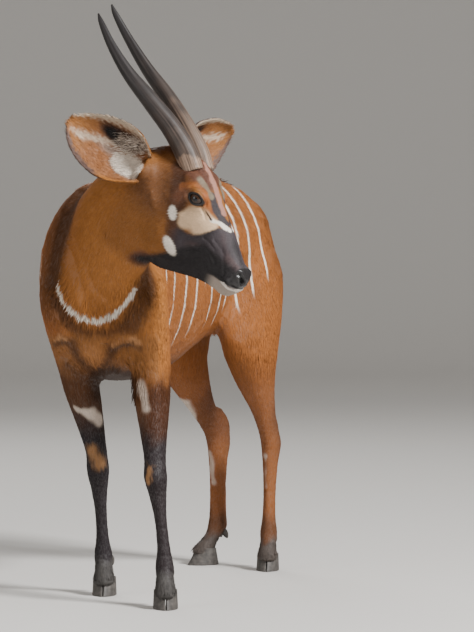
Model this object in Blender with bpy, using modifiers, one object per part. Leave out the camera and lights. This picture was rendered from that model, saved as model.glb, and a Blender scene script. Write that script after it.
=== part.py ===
"""A female bongo antelope, life size, standing with her head turned to her own left.

Metres, +Z up. She faces -Y, her trunk runs back along +Y and bends towards +X, and her
muzzle points to +X and down. All places below are in the stance frame, whose floor is
z = 0; the last step hangs every node on an empty, which brings the origin to the floor
under the middle of the whole animal.
"""

import math
import random
from collections import namedtuple

import bmesh
import bpy
import numpy as np
from mathutils import Matrix, Vector
from mathutils.bvhtree import BVHTree

GAP = 0.0003

WITHERS = 1.165
KNEE = 0.355
HOCK = 0.385
ELBOW = 0.660
STIFLE = 0.670
FETLOCK = 0.112
CORONET = 0.052

EYE_RADIUS = 0.022
EYE_PLACE = (0.014, 0.008, 0.051)
HORN_RADIUS = 0.030
HORN_SIDES = 12
EAR_WIDTH = 0.168
EAR_WALL = 0.0045
EAR_ROOT = 0.031
CLAW_LENGTH = 0.098
CLAW_WIDTH = 0.033
CREST_START = 0.150
CREST_END = 0.900
CREST_SPACING = 0.033
CREST_LENGTH = 0.078
CREST_HALF_WIDTH = 0.0115
CREST_HALF_THICKNESS = 0.0055
CREST_ROOT = 0.012
TUFT_TIERS = (0.745, 0.710, 0.670)
TUFT_LOCKS = 6
TUFT_LENGTH = 0.150
TUFT_HALF_WIDTH = 0.0125
TUFT_HALF_THICKNESS = 0.0060
TUFT_ROOT = 0.007

VOXEL = 0.0055
FLESH_TRIANGLES = 7000
CREASE_ROUNDS = 40
CREASE_SOFTNESS = 0.06
HEAD_COARSENESS = 0.34
LEG_COARSENESS = 0.80

CHESTNUT = (0.36, 0.115, 0.028)
GOLDEN_BROWN = (0.23, 0.095, 0.026)
DARK_BROWN = (0.045, 0.032, 0.026)
LEG_GREY = (0.060, 0.050, 0.045)
HORN_GREY = (0.12, 0.095, 0.080)
EYE_BLACK = (0.012, 0.008, 0.006)
FINISHES = {
    "head": (GOLDEN_BROWN, 0.75),
    "neck": (GOLDEN_BROWN, 0.75),
    "torso": (CHESTNUT, 0.75),
    "foreleg": (CHESTNUT, 0.75),
    "hindleg": (CHESTNUT, 0.75),
    "ear": (GOLDEN_BROWN, 0.80),
    "tail": (DARK_BROWN, 0.80),
    "eye": (EYE_BLACK, 0.08),
    "horn": (HORN_GREY, 0.45),
    "claw": (HORN_GREY, 0.60),
    "dewclaw": (HORN_GREY, 0.60),
}

Trunk = namedtuple("Trunk", "x y top bottom half crown")
Limb = namedtuple("Limb", "x y z across along")
Face = namedtuple("Face", "forward top bottom half keel")
Horn = namedtuple("Horn", "forward up apart radius")
Ear = namedtuple("Ear", "along half curl")
Foot = namedtuple("Foot", "x y heading rise")
Cut = namedtuple("Cut", "centre normal up half_side half_up")

TRUNK = [
    Trunk(-0.350, -0.085, 0.960, 0.760, 0.080, 0.00),
    Trunk(-0.358, -0.030, 1.040, 0.680, 0.132, 0.00),
    Trunk(-0.370, 0.080, WITHERS - 0.010, 0.632, 0.166, 0.12),
    Trunk(-0.370, 0.200, WITHERS, 0.615, 0.186, 0.14),
    Trunk(-0.352, 0.330, WITHERS - 0.010, 0.600, 0.214, 0.12),
    Trunk(-0.305, 0.520, WITHERS - 0.012, 0.600, 0.232, 0.12),
    Trunk(-0.220, 0.690, WITHERS + 0.006, 0.650, 0.212, 0.14),
    Trunk(-0.120, 0.830, WITHERS + 0.026, 0.720, 0.186, 0.18),
    Trunk(-0.030, 0.945, WITHERS + 0.000, 0.790, 0.162, 0.18),
    Trunk(0.026, 1.015, WITHERS - 0.070, 0.850, 0.112, 0.15),
]

RIGHT_FORE = [
    Limb(-0.410, 0.200, 1.070, 0.025, 0.040),
    Limb(-0.462, 0.130, 0.960, 0.068, 0.100),
    Limb(-0.472, 0.075, 0.860, 0.078, 0.115),
    Limb(-0.465, 0.125, 0.750, 0.070, 0.115),
    Limb(-0.450, 0.190, ELBOW, 0.060, 0.092),
    Limb(-0.432, 0.203, 0.570, 0.052, 0.068),
    Limb(-0.411, 0.213, 0.480, 0.040, 0.048),
    Limb(-0.395, 0.220, 0.405, 0.032, 0.037),
    Limb(-0.391, 0.222, KNEE, 0.034, 0.039),
    Limb(-0.388, 0.236, 0.305, 0.026, 0.030),
    Limb(-0.384, 0.248, 0.240, 0.019, 0.024),
    Limb(-0.380, 0.260, 0.165, 0.020, 0.025),
    Limb(-0.378, 0.268, FETLOCK, 0.028, 0.032),
    Limb(-0.376, 0.254, 0.082, 0.026, 0.029),
    Limb(-0.375, 0.240, CORONET, 0.030, 0.036),
    Limb(-0.375, 0.238, 0.030, 0.030, 0.036),
]

LEFT_FORE = [
    Limb(-0.330, 0.170, 1.070, 0.025, 0.040),
    Limb(-0.275, 0.080, 0.960, 0.066, 0.100),
    Limb(-0.262, 0.010, 0.860, 0.074, 0.115),
    Limb(-0.250, 0.025, 0.750, 0.068, 0.115),
    Limb(-0.238, 0.040, ELBOW, 0.058, 0.092),
    Limb(-0.233, 0.010, 0.570, 0.052, 0.068),
    Limb(-0.228, -0.020, 0.480, 0.040, 0.048),
    Limb(-0.224, -0.045, 0.405, 0.032, 0.037),
    Limb(-0.222, -0.060, KNEE, 0.034, 0.039),
    Limb(-0.216, -0.056, 0.305, 0.026, 0.030),
    Limb(-0.208, -0.060, 0.240, 0.019, 0.024),
    Limb(-0.200, -0.064, 0.165, 0.020, 0.025),
    Limb(-0.197, -0.066, FETLOCK, 0.028, 0.032),
    Limb(-0.196, -0.081, 0.082, 0.026, 0.029),
    Limb(-0.195, -0.096, CORONET, 0.030, 0.036),
    Limb(-0.195, -0.098, 0.030, 0.030, 0.036),
]

HEELS = [
    Limb(-0.040, 1.130, HOCK + 0.045, 0.018, 0.026),
    Limb(0.110, 0.962, HOCK + 0.045, 0.018, 0.026),
]

RIGHT_HIND = [
    Limb(-0.100, 0.900, 1.060, 0.025, 0.050),
    Limb(-0.148, 0.952, 0.930, 0.080, 0.150),
    Limb(-0.175, 0.945, 0.810, 0.082, 0.155),
    Limb(-0.180, 0.938, STIFLE, 0.068, 0.118),
    Limb(-0.150, 0.982, 0.575, 0.052, 0.082),
    Limb(-0.110, 1.045, 0.490, 0.033, 0.056),
    Limb(-0.074, 1.098, 0.430, 0.027, 0.052),
    Limb(-0.058, 1.122, HOCK, 0.030, 0.045),
    Limb(-0.058, 1.125, 0.325, 0.024, 0.036),
    Limb(-0.059, 1.126, 0.250, 0.020, 0.031),
    Limb(-0.059, 1.126, 0.165, 0.021, 0.031),
    Limb(-0.061, 1.120, FETLOCK, 0.028, 0.034),
    Limb(-0.080, 1.109, 0.082, 0.026, 0.029),
    Limb(-0.102, 1.098, CORONET, 0.030, 0.036),
    Limb(-0.106, 1.096, 0.030, 0.030, 0.036),
]

LEFT_HIND = [
    Limb(-0.020, 0.850, 1.080, 0.045, 0.080),
    Limb(0.016, 0.840, 0.945, 0.083, 0.150),
    Limb(0.031, 0.805, 0.810, 0.080, 0.155),
    Limb(0.040, 0.772, STIFLE, 0.068, 0.118),
    Limb(0.055, 0.810, 0.575, 0.052, 0.082),
    Limb(0.078, 0.868, 0.490, 0.033, 0.056),
    Limb(0.094, 0.912, 0.430, 0.027, 0.052),
    Limb(0.103, 0.934, HOCK, 0.030, 0.045),
    Limb(0.101, 0.940, 0.325, 0.024, 0.036),
    Limb(0.099, 0.942, 0.250, 0.020, 0.031),
    Limb(0.097, 0.942, 0.165, 0.021, 0.031),
    Limb(0.096, 0.944, FETLOCK, 0.028, 0.034),
    Limb(0.094, 0.930, 0.082, 0.026, 0.029),
    Limb(0.092, 0.914, CORONET, 0.030, 0.036),
    Limb(0.092, 0.912, 0.030, 0.030, 0.036),
]

NECK = [
    Limb(-0.370, 0.130, 0.945, 0.125, 0.200),
    Limb(-0.360, 0.040, 0.970, 0.112, 0.190),
    Limb(-0.336, -0.050, 1.022, 0.102, 0.162),
    Limb(-0.288, -0.125, 1.085, 0.098, 0.138),
    Limb(-0.235, -0.180, 1.130, 0.092, 0.122),
    Limb(-0.180, -0.222, 1.145, 0.080, 0.112),
]

TAIL = [
    Limb(0.000, 0.975, 1.085, 0.030, 0.030),
    Limb(0.030, 1.020, 1.060, 0.026, 0.024),
    Limb(0.046, 1.045, 0.990, 0.019, 0.018),
    Limb(0.050, 1.052, 0.880, 0.015, 0.014),
    Limb(0.052, 1.052, 0.780, 0.014, 0.013),
    Limb(0.054, 1.052, 0.710, 0.014, 0.013),
    Limb(0.055, 1.050, 0.660, 0.012, 0.011),
    Limb(0.056, 1.048, 0.620, 0.006, 0.006),
]

FEET = {
    "fore_right": Foot(-0.375, 0.245, (-0.05, -1.0, 0.0), 0.048),
    "fore_left": Foot(-0.194, -0.091, (0.05, -1.0, 0.0), 0.048),
    "hind_right": Foot(-0.108, 1.0945, (-0.866, -0.50, 0.0), 0.073),
    "hind_left": Foot(0.092, 0.919, (-0.10, -1.0, 0.0), 0.051),
}

HORN = [
    Horn(-0.052, 0.048, 0.0300, HORN_RADIUS),
    Horn(-0.100, 0.078, 0.0330, 0.0300),
    Horn(-0.175, 0.107, 0.0400, 0.0265),
    Horn(-0.270, 0.131, 0.053, 0.0225),
    Horn(-0.365, 0.151, 0.059, 0.0175),
    Horn(-0.455, 0.180, 0.058, 0.0125),
    Horn(-0.525, 0.210, 0.052, 0.0080),
    Horn(-0.552, 0.225, 0.050, 0.0025),
]
HORN_REACH = {1: 0.965, -1: 1.035}

EAR_PROFILE = [
    Ear(0.00, 0.46, 2.00),
    Ear(0.12, 0.66, 1.75),
    Ear(0.28, 0.90, 1.40),
    Ear(0.46, 1.00, 1.15),
    Ear(0.64, 0.94, 0.95),
    Ear(0.80, 0.76, 0.80),
    Ear(0.92, 0.50, 0.65),
    Ear(1.00, 0.16, 0.50),
]
EAR_TIPS = {"right": (-0.378, -0.020, 0.163), "left": (-0.173, 0.108, -0.293)}
EAR_OPENS = {"right": Vector((0.10, -1.0, 0.15)), "left": Vector((0.95, -0.24, 0.10))}

HEAD = [
    Face(-0.165, 0.038, -0.150, 0.068, 0.10),
    Face(-0.115, 0.066, -0.200, 0.076, 0.15),
    Face(-0.060, 0.080, -0.230, 0.077, 0.20),
    Face(0.000, 0.062, -0.230, 0.069, 0.22),
    Face(0.050, 0.033, -0.211, 0.060, 0.22),
    Face(0.100, 0.001, -0.189, 0.050, 0.20),
    Face(0.140, -0.020, -0.176, 0.043, 0.18),
    Face(0.178, -0.045, -0.170, 0.038, 0.15),
    Face(0.209, -0.065, -0.163, 0.036, 0.12),
    Face(0.229, -0.080, -0.150, 0.030, 0.05),
    Face(0.239, -0.096, -0.134, 0.016, 0.00),
]


class HeadFrame:
    """The head's own directions: forward to the nose, up out of the forehead, right to its right."""

    eyes = Vector((-0.092, -0.259, 1.115))
    yaw = math.radians(30)
    pitch = math.radians(37)
    forward = Vector((
        math.cos(pitch) * math.cos(yaw),
        -math.cos(pitch) * math.sin(yaw),
        -math.sin(pitch),
    ))
    up = Vector((
        math.sin(pitch) * math.cos(yaw),
        -math.sin(pitch) * math.sin(yaw),
        math.cos(pitch),
    ))
    right = Vector((-math.sin(yaw), -math.cos(yaw), 0.0))

    @classmethod
    def point(cls, forward, up, right=0.0):
        return cls.eyes + cls.forward * forward + cls.up * up + cls.right * right

    @classmethod
    def way(cls, forward, up, right=0.0):
        return (cls.forward * forward + cls.up * up + cls.right * right).normalized()


def clear_scene():
    for found in list(bpy.data.objects):
        bpy.data.objects.remove(found)


def smooth_rows(rows, steps):
    """Rows read off the Catmull-Rom curve through the given rows, with steps between each two."""
    points = np.array(rows, dtype=float)
    padded = np.vstack([2 * points[0] - points[1], points, 2 * points[-1] - points[-2]])
    result = []
    for index in range(len(points) - 1):
        before, start, end, after = padded[index:index + 4]
        for step in range(steps):
            t = step / steps
            result.append(0.5 * (
                2 * start
                + (end - before) * t
                + (2 * before - 5 * start + 4 * end - after) * t * t
                + (3 * start - before - 3 * end + after) * t ** 3
            ))
    result.append(points[-1])
    return result


def face_outwards(shape):
    shape.normal_update()
    bmesh.ops.recalc_face_normals(shape, faces=shape.faces[:])


def loft(rings):
    """A closed mesh through rings of points, its two ends closed by a point in the middle."""
    shape = bmesh.new()
    loops = [[shape.verts.new(point) for point in ring] for ring in rings]
    count = len(rings[0])
    for low, high in zip(loops, loops[1:]):
        for index in range(count):
            other = (index + 1) % count
            shape.faces.new((low[index], low[other], high[other], high[index]))
    for loop in (loops[0], loops[-1]):
        middle = sum((vert.co for vert in loop), Vector()) / count
        tip = shape.verts.new(middle)
        for index in range(count):
            shape.faces.new((tip, loop[index], loop[(index + 1) % count]))
    face_outwards(shape)
    return shape


def rounded(value, power):
    return math.copysign(abs(value) ** power, value)


def oval(
    centre, side, up, half_side, half_up, half_down, keel=0.0, crown=0.0, count=28, power=1.0
):
    """One ring: keel narrows its lower half, crown its upper half, a low power squares it."""
    ring = []
    for index in range(count):
        angle = math.tau * index / count
        across = rounded(math.cos(angle), power)
        height = rounded(math.sin(angle), power)
        reach = half_up if height > 0 else half_down
        narrowing = (crown if height > 0 else keel) * height * height
        ring.append(
            centre + side * (half_side * across * (1 - narrowing)) + up * (reach * height)
        )
    return ring


def trunk_shape():
    rows = smooth_rows(TRUNK, 5)
    rings = []
    for index, row in enumerate(rows):
        x, y, top, bottom, half, crown = row
        ahead = rows[min(index + 1, len(rows) - 1)]
        behind = rows[max(index - 1, 0)]
        along = Vector((ahead[0] - behind[0], ahead[1] - behind[1], 0)).normalized()
        side = along.cross(Vector((0, 0, 1)))
        middle = bottom + 0.52 * (top - bottom)
        rings.append(oval(
            Vector((x, y, middle)), side, Vector((0, 0, 1)),
            half, top - middle, middle - bottom, keel=0.10, crown=crown, power=0.88,
        ))
    return loft(rings)


def limb_shape(rows, heading_top, heading_foot, steps=4):
    """A limb whose sections lie flat, turned from the upper heading to the foot's heading."""
    read = smooth_rows(rows, steps)
    rings = []
    for index, (x, y, z, across, along) in enumerate(read):
        share = index / (len(read) - 1)
        heading = (Vector(heading_top) * (1 - share) + Vector(heading_foot) * share).normalized()
        side = heading.cross(Vector((0, 0, 1))).normalized()
        rings.append(oval(Vector((x, y, z)), side, heading, across, along, along, count=20))
    return loft(rings)


def path_shape(rows, steps=5, count=24, overrun=0.0):
    """A tube whose rings stand square to its own path; along is its half height."""
    read = smooth_rows(rows, steps)
    rings = []
    for index, (x, y, z, across, along) in enumerate(read):
        ahead = Vector(read[min(index + 1, len(read) - 1)][:3])
        behind = Vector(read[max(index - 1, 0)][:3])
        tangent = (ahead - behind).normalized()
        side = tangent.cross(Vector((0, 0, 1))).normalized()
        up = side.cross(tangent).normalized()
        centre = Vector((x, y, z))
        if index == 0:
            centre -= tangent * overrun
        rings.append(oval(centre, side, up, across, along, along, count=count))
    return loft(rings)


def head_shape():
    rings = []
    for forward, top, bottom, half, keel in smooth_rows(HEAD, 4):
        middle = bottom + 0.62 * (top - bottom)
        rings.append(oval(
            HeadFrame.point(forward, middle), HeadFrame.right, HeadFrame.up,
            half, top - middle, middle - bottom, keel=keel, crown=0.32, power=0.80,
        ))
    return loft(rings)


def ball(centre, axes, radii):
    """An ellipsoid with the given centre, three directions and three radii."""
    shape = bmesh.new()
    bmesh.ops.create_icosphere(shape, subdivisions=2, radius=1.0)
    turn = Matrix.Identity(3)
    for column, (axis, radius) in enumerate(zip(axes, radii)):
        for row in range(3):
            turn[row][column] = axis[row] * radius
    for vert in shape.verts:
        vert.co = centre + turn @ vert.co
    face_outwards(shape)
    return shape


def head_ball(forward, up, right, radii, tilt=0.0):
    """An ellipsoid given in the head's directions, tilted nose-up by an angle in degrees."""
    angle = math.radians(tilt)
    ahead = HeadFrame.way(math.cos(angle), math.sin(angle))
    above = HeadFrame.way(-math.sin(angle), math.cos(angle))
    return ball(HeadFrame.point(forward, up, right), (ahead, above, HeadFrame.right), radii)


def heel_shape(heel, limb):
    """The point of the hock, drawn out along the tendon that runs up behind the leg."""
    knee_end, hock_end = (Vector(limb[index][:3]) for index in (4, 6))
    tendon = (knee_end - hock_end).normalized()
    side = tendon.cross(Vector((0, 0, 1))).normalized()
    centre = Vector((heel.x, heel.y, heel.z)) + tendon * 0.022
    return ball(centre, (side, side.cross(tendon), tendon), (heel.across, heel.along, 0.062))


def limb_shapes():
    pelvis_heading = (-0.643, -0.766, 0.0)
    return [
        limb_shape(RIGHT_FORE, (0.10, -1.0, 0.0), (-0.05, -1.0, 0.0)),
        limb_shape(LEFT_FORE, (-0.05, -1.0, 0.0), (0.05, -1.0, 0.0)),
        limb_shape(RIGHT_HIND, pelvis_heading, (-0.866, -0.50, 0.0)),
        limb_shape(LEFT_HIND, pelvis_heading, (-0.10, -1.0, 0.0)),
        *(heel_shape(heel, limb) for heel, limb in zip(HEELS, (RIGHT_HIND, LEFT_HIND))),
    ]


def face_shapes():
    """Brows, cheeks, lips, chin and nose pad, alike on both sides of the head."""
    shapes = [
        head_ball(0.190, -0.152, 0.0, (0.036, 0.019, 0.025), tilt=-5),
        head_ball(0.226, -0.100, 0.0, (0.018, 0.024, 0.026), tilt=-40),
        head_ball(-0.125, 0.030, 0.0, (0.060, 0.040, 0.052)),
    ]
    for side in (1, -1):
        shapes += [
            head_ball(0.012, 0.010, side * 0.051, (0.036, 0.030, 0.0265)),
            head_ball(-0.030, 0.028, side * 0.042, (0.045, 0.035, 0.028)),
            head_ball(-0.020, -0.125, side * 0.048, (0.085, 0.070, 0.030), tilt=-20),
            head_ball(0.095, -0.065, side * 0.032, (0.070, 0.034, 0.020), tilt=-28),
            head_ball(0.200, -0.112, side * 0.020, (0.042, 0.028, 0.023), tilt=-28),
            head_ball(0.216, -0.090, side * 0.020, (0.026, 0.022, 0.018), tilt=-30),
        ]
    return shapes


def join_shapes(name, shapes):
    """One object that holds the faces of all the given shapes."""
    whole = bmesh.new()
    for shape in shapes:
        passing = bpy.data.meshes.new(name)
        shape.to_mesh(passing)
        whole.from_mesh(passing)
        bpy.data.meshes.remove(passing)
        shape.free()
    mesh = bpy.data.meshes.new(name)
    whole.to_mesh(mesh)
    whole.free()
    thing = bpy.data.objects.new(name, mesh)
    bpy.context.scene.collection.objects.link(thing)
    return thing


def apply_modifiers(thing):
    """Replace the object's mesh by what its modifiers make of it."""
    shown = bpy.context.evaluated_depsgraph_get()
    mesh = bpy.data.meshes.new_from_object(thing.evaluated_get(shown))
    thing.modifiers.clear()
    former = thing.data
    thing.data = mesh
    bpy.data.meshes.remove(former)


def fill_creases(mesh, rounds, follow):
    """Lift what lies below its neighbours, so that limbs flow into the trunk, and soften the rest."""
    count = len(mesh.vertices)
    places = np.empty(count * 3)
    mesh.vertices.foreach_get("co", places)
    places = places.reshape(-1, 3)
    ends = np.empty(len(mesh.edges) * 2, dtype=int)
    mesh.edges.foreach_get("vertices", ends)
    ends = ends.reshape(-1, 2)
    pair_from = np.concatenate([ends[:, 0], ends[:, 1]])
    pair_to = np.concatenate([ends[:, 1], ends[:, 0]])
    degree = np.bincount(pair_from, minlength=count)[:, None]
    corners = np.empty(len(mesh.loops), dtype=int)
    mesh.loops.foreach_get("vertex_index", corners)
    fours = corners.reshape(-1, 4)
    for turn in range(rounds):
        mean = np.stack([
            np.bincount(pair_from, places[pair_to, axis], minlength=count) for axis in range(3)
        ], axis=1) / degree
        across = places[fours[:, 2]] - places[fours[:, 0]]
        along = places[fours[:, 3]] - places[fours[:, 1]]
        face_normals = np.cross(across, along)
        normals = np.stack([
            np.bincount(fours.ravel(), np.repeat(face_normals[:, axis], 4), minlength=count)
            for axis in range(3)
        ], axis=1)
        normals /= np.linalg.norm(normals, axis=1)[:, None] + 1e-12
        away = mean - places
        lift = np.einsum("ij,ij->i", away, normals)[:, None]
        rate = np.where(lift > 0, 0.9, follow)
        places += away * rate
    mesh.vertices.foreach_set("co", places.ravel())
    mesh.update()


def thin_out(thing, triangles):
    """Fewer triangles, with the head and the legs kept finer than the trunk."""
    group = thing.vertex_groups.new(name="coarse")
    for vert in thing.data.vertices:
        ahead = (vert.co - HeadFrame.eyes).dot(HeadFrame.forward)
        apart = (vert.co - HeadFrame.point(0.05, -0.07)).length
        weight = 1.0
        if apart < 0.24 and ahead > -0.15:
            weight = HEAD_COARSENESS
        elif vert.co.z < ELBOW:
            weight = LEG_COARSENESS
        group.add([vert.index], weight, "REPLACE")
    decimate = thing.modifiers.new("thin", "DECIMATE")
    decimate.ratio = triangles / (2 * len(thing.data.polygons))
    decimate.vertex_group = group.name
    decimate.vertex_group_factor = 0.02
    decimate.use_collapse_triangulate = True
    apply_modifiers(thing)
    thing.vertex_groups.clear()


def make_flesh():
    flesh = join_shapes("flesh", [
        trunk_shape(), path_shape(NECK), head_shape(), *limb_shapes(), *face_shapes(),
    ])
    remesh = flesh.modifiers.new("skin", "REMESH")
    remesh.mode = "VOXEL"
    remesh.voxel_size = VOXEL
    apply_modifiers(flesh)
    fill_creases(flesh.data, CREASE_ROUNDS, CREASE_SOFTNESS)
    return flesh


def boolean(thing, operation, other, solver="EXACT"):
    """Join or cut the object with another object or with a collection of them."""
    change = thing.modifiers.new("join", "BOOLEAN")
    change.operation = operation
    change.solver = solver
    if isinstance(other, bpy.types.Collection):
        change.operand_type = "COLLECTION"
        change.collection = other
    else:
        change.object = other
    apply_modifiers(thing)


def cutter(name, shape, cutters):
    """A hidden solid that only cuts."""
    mesh = bpy.data.meshes.new(name)
    face_outwards(shape)
    shape.to_mesh(mesh)
    shape.free()
    thing = bpy.data.objects.new(name, mesh)
    thing.hide_render = True
    thing.display_type = "WIRE"
    cutters.objects.link(thing)
    return thing


def slab(centre, normal, up, half_side, half_up, thickness=GAP):
    """A thin plate across a limb or the neck, square to the normal."""
    normal = Vector(normal).normalized()
    side = Vector(up).cross(normal).normalized()
    above = normal.cross(side)
    shape = bmesh.new()
    bmesh.ops.create_cube(shape, size=2.0)
    for vert in shape.verts:
        across, height, depth = vert.co
        vert.co = (
            Vector(centre) + side * (across * half_side) + above * (height * half_up)
            + normal * (depth * thickness / 2)
        )
    return shape


def eye_shape(side, radius):
    shape = bmesh.new()
    bmesh.ops.create_uvsphere(shape, u_segments=12, v_segments=8, radius=radius)
    forward, up, right = EYE_PLACE
    bmesh.ops.translate(shape, verts=shape.verts[:], vec=HeadFrame.point(forward, up, right * side))
    return shape


def eye_opening(side):
    """The almond between the lids, long from the inner to the outer corner."""
    forward, up, right = EYE_PLACE
    return head_ball(
        forward, up, (right + EYE_RADIUS) * side, (0.0240, 0.0165, 0.0220), tilt=-20
    )


def nostril(side):
    return head_ball(0.237, -0.095, side * 0.026, (0.011, 0.0070, 0.012), tilt=-60)


def mouth_line():
    """A thin blade along the closed lips, from one corner round the front to the other."""
    half = [(0.135, 0.046), (0.165, 0.043), (0.200, 0.041), (0.228, 0.034), (0.245, 0.018), (0.251, 0.0)]
    course = half + [(forward, -right) for forward, right in reversed(half[:-1])]
    middle = 0.175
    rings = []
    for forward, right in course:
        outward = Vector((forward - middle, right, 0)).normalized()
        ring = []
        for reach, height in ((-0.010, -0.0013), (0.020, -0.0013), (0.020, 0.0013), (-0.010, 0.0013)):
            ring.append(HeadFrame.point(
                forward + outward.x * reach, -0.131 + height, right + outward.y * reach
            ))
        rings.append(ring)
    return loft(rings)


def horn_shape(side, grow=0.0):
    """A smooth horn with a blunt keel that turns about a quarter round it."""
    root = HORN[0]
    reach = HORN_REACH[side]
    read = smooth_rows([
        Horn(
            root.forward + (row.forward - root.forward) * reach,
            root.up + (row.up - root.up) * reach, row.apart, row.radius,
        )
        for row in HORN
    ], 2)
    rings = []
    for index, (forward, up, apart, radius) in enumerate(read):
        ahead = read[min(index + 1, len(read) - 1)]
        behind = read[max(index - 1, 0)]
        tangent = HeadFrame.way(*(ahead[:3] - behind[:3]) * (1, 1, side))
        out = tangent.cross(HeadFrame.up).normalized()
        above = out.cross(tangent)
        turn = side * (0.5 + 1.5 * index / len(read))
        ring = []
        for step in range(HORN_SIDES):
            angle = math.tau * step / HORN_SIDES
            keel = 1.0 + 0.13 * max(0.0, math.cos(angle - turn)) ** 6
            thickness = (radius + grow) * keel
            ring.append(
                HeadFrame.point(forward, up, apart * side)
                + out * (thickness * 0.85 * math.cos(angle)) + above * (thickness * math.sin(angle))
            )
        if index == 0:
            ring = [point - tangent * grow for point in ring]
        rings.append(ring)
    return loft(rings)


def ear_course(side):
    """The ear's middle line: out of the skull, then back to the tip."""
    sign = 1 if side == "right" else -1
    root = HeadFrame.point(-0.134, -0.026, sign * 0.066)
    bend = HeadFrame.point(-0.186, -0.018, sign * 0.140)
    tip = HeadFrame.point(*EAR_TIPS[side])
    return root, bend, tip


def course_point(course, share):
    root, bend, tip = course
    return root * (1 - share) ** 2 + bend * (2 * share * (1 - share)) + tip * share ** 2


def ear_sheet(side, lengthwise=8, across=6):
    """The ear's wall as an open, curled leaf, its hollow facing the way the ear opens."""
    course = ear_course(side)
    rows = smooth_rows(EAR_PROFILE, 4)
    shape = bmesh.new()
    grid = []
    for index in range(lengthwise + 1):
        share = index / lengthwise
        along, half, curl = rows[round(share * (len(rows) - 1))]
        place = 0.16 + 0.84 * along
        centre = course_point(course, place)
        tangent = (course_point(course, place + 0.02) - course_point(course, place - 0.02)).normalized()
        opening = EAR_OPENS[side] - tangent * EAR_OPENS[side].dot(tangent)
        opening.normalize()
        out = tangent.cross(opening)
        width = EAR_WIDTH / 2 * half
        radius = width / math.sin(min(curl, math.pi / 2))
        line = []
        for step in range(across + 1):
            angle = curl * (2 * step / across - 1)
            line.append(shape.verts.new(
                centre + out * (radius * math.sin(angle)) + opening * (radius * (0.6 - math.cos(angle)))
            ))
        grid.append(line)
    for low, high in zip(grid, grid[1:]):
        for step in range(across):
            shape.faces.new((low[step], low[step + 1], high[step + 1], high[step]))
    face_outwards(shape)
    return shape


def ear_root(side):
    """The solid stem that stands in the skull and closes the bottom of the cup."""
    course = ear_course(side)
    rings = []
    for place, radius in ((-0.10, 0.8), (0.04, 1.0), (0.12, 1.1), (0.19, 1.0)):
        centre = course_point(course, place)
        tangent = (course_point(course, place + 0.02) - course_point(course, place - 0.02)).normalized()
        across = tangent.cross(EAR_OPENS[side]).normalized()
        up = across.cross(tangent)
        reach = EAR_ROOT * radius
        rings.append(oval(centre, across, up, reach, reach, reach, count=14))
    return loft(rings)


def make_object(name, shape, collection):
    """A named node from a closed shape."""
    mesh = bpy.data.meshes.new(name)
    shape.to_mesh(mesh)
    shape.free()
    thing = bpy.data.objects.new(name, mesh)
    collection.objects.link(thing)
    return thing


def finish(thing):
    """The node's own material, smooth but for its sharp edges."""
    colour, roughness = FINISHES[thing.name.split("_")[0]]
    if thing.name.startswith(("foreleg_lower", "hindleg_lower")):
        colour = LEG_GREY
    material = bpy.data.materials.new(thing.name)
    material.use_nodes = True
    shader = material.node_tree.nodes["Principled BSDF"]
    shader.inputs["Base Color"].default_value = (*colour, 1.0)
    shader.inputs["Roughness"].default_value = roughness
    shader.inputs["Metallic"].default_value = 0.0
    thing.data.materials.clear()
    thing.data.materials.append(material)
    thing.data.shade_smooth()
    thing.data.set_sharp_from_angle(angle=math.radians(40))


def loose_pieces(mesh):
    """The mesh's closed surfaces as lists of vertex numbers, largest first."""
    owner = list(range(len(mesh.vertices)))

    def find(number):
        while owner[number] != number:
            owner[number] = owner[owner[number]]
            number = owner[number]
        return number

    for edge in mesh.edges:
        first, second = (find(number) for number in edge.vertices)
        owner[first] = second
    pieces = {}
    for number in range(len(mesh.vertices)):
        pieces.setdefault(find(number), []).append(number)
    return sorted(pieces.values(), key=len, reverse=True)


def piece_shape(mesh, numbers):
    """A shape that holds only the given vertices of the mesh."""
    shape = bmesh.new()
    shape.from_mesh(mesh)
    shape.verts.ensure_lookup_table()
    kept = set(numbers)
    bmesh.ops.delete(
        shape, geom=[vert for vert in shape.verts if vert.index not in kept], context="VERTS"
    )
    bmesh.ops.dissolve_degenerate(shape, dist=0.00002, edges=shape.edges[:])
    bmesh.ops.triangulate(shape, faces=shape.faces[:])
    return shape


def keep_largest(thing):
    """Leave only the object's largest closed surface."""
    shape = piece_shape(thing.data, loose_pieces(thing.data)[0])
    shape.to_mesh(thing.data)
    shape.free()


def fuse(thing, shapes):
    """Join closed shapes to the object by one Boolean union."""
    group = bpy.data.collections.new("joined")
    bpy.context.scene.collection.children.link(group)
    for number, shape in enumerate(shapes):
        make_object(f"joined_{number}", shape, group)
    boolean(thing, "UNION", group)
    for other in list(group.objects):
        bpy.data.objects.remove(other)
    bpy.data.collections.remove(group)
    keep_largest(thing)


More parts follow.
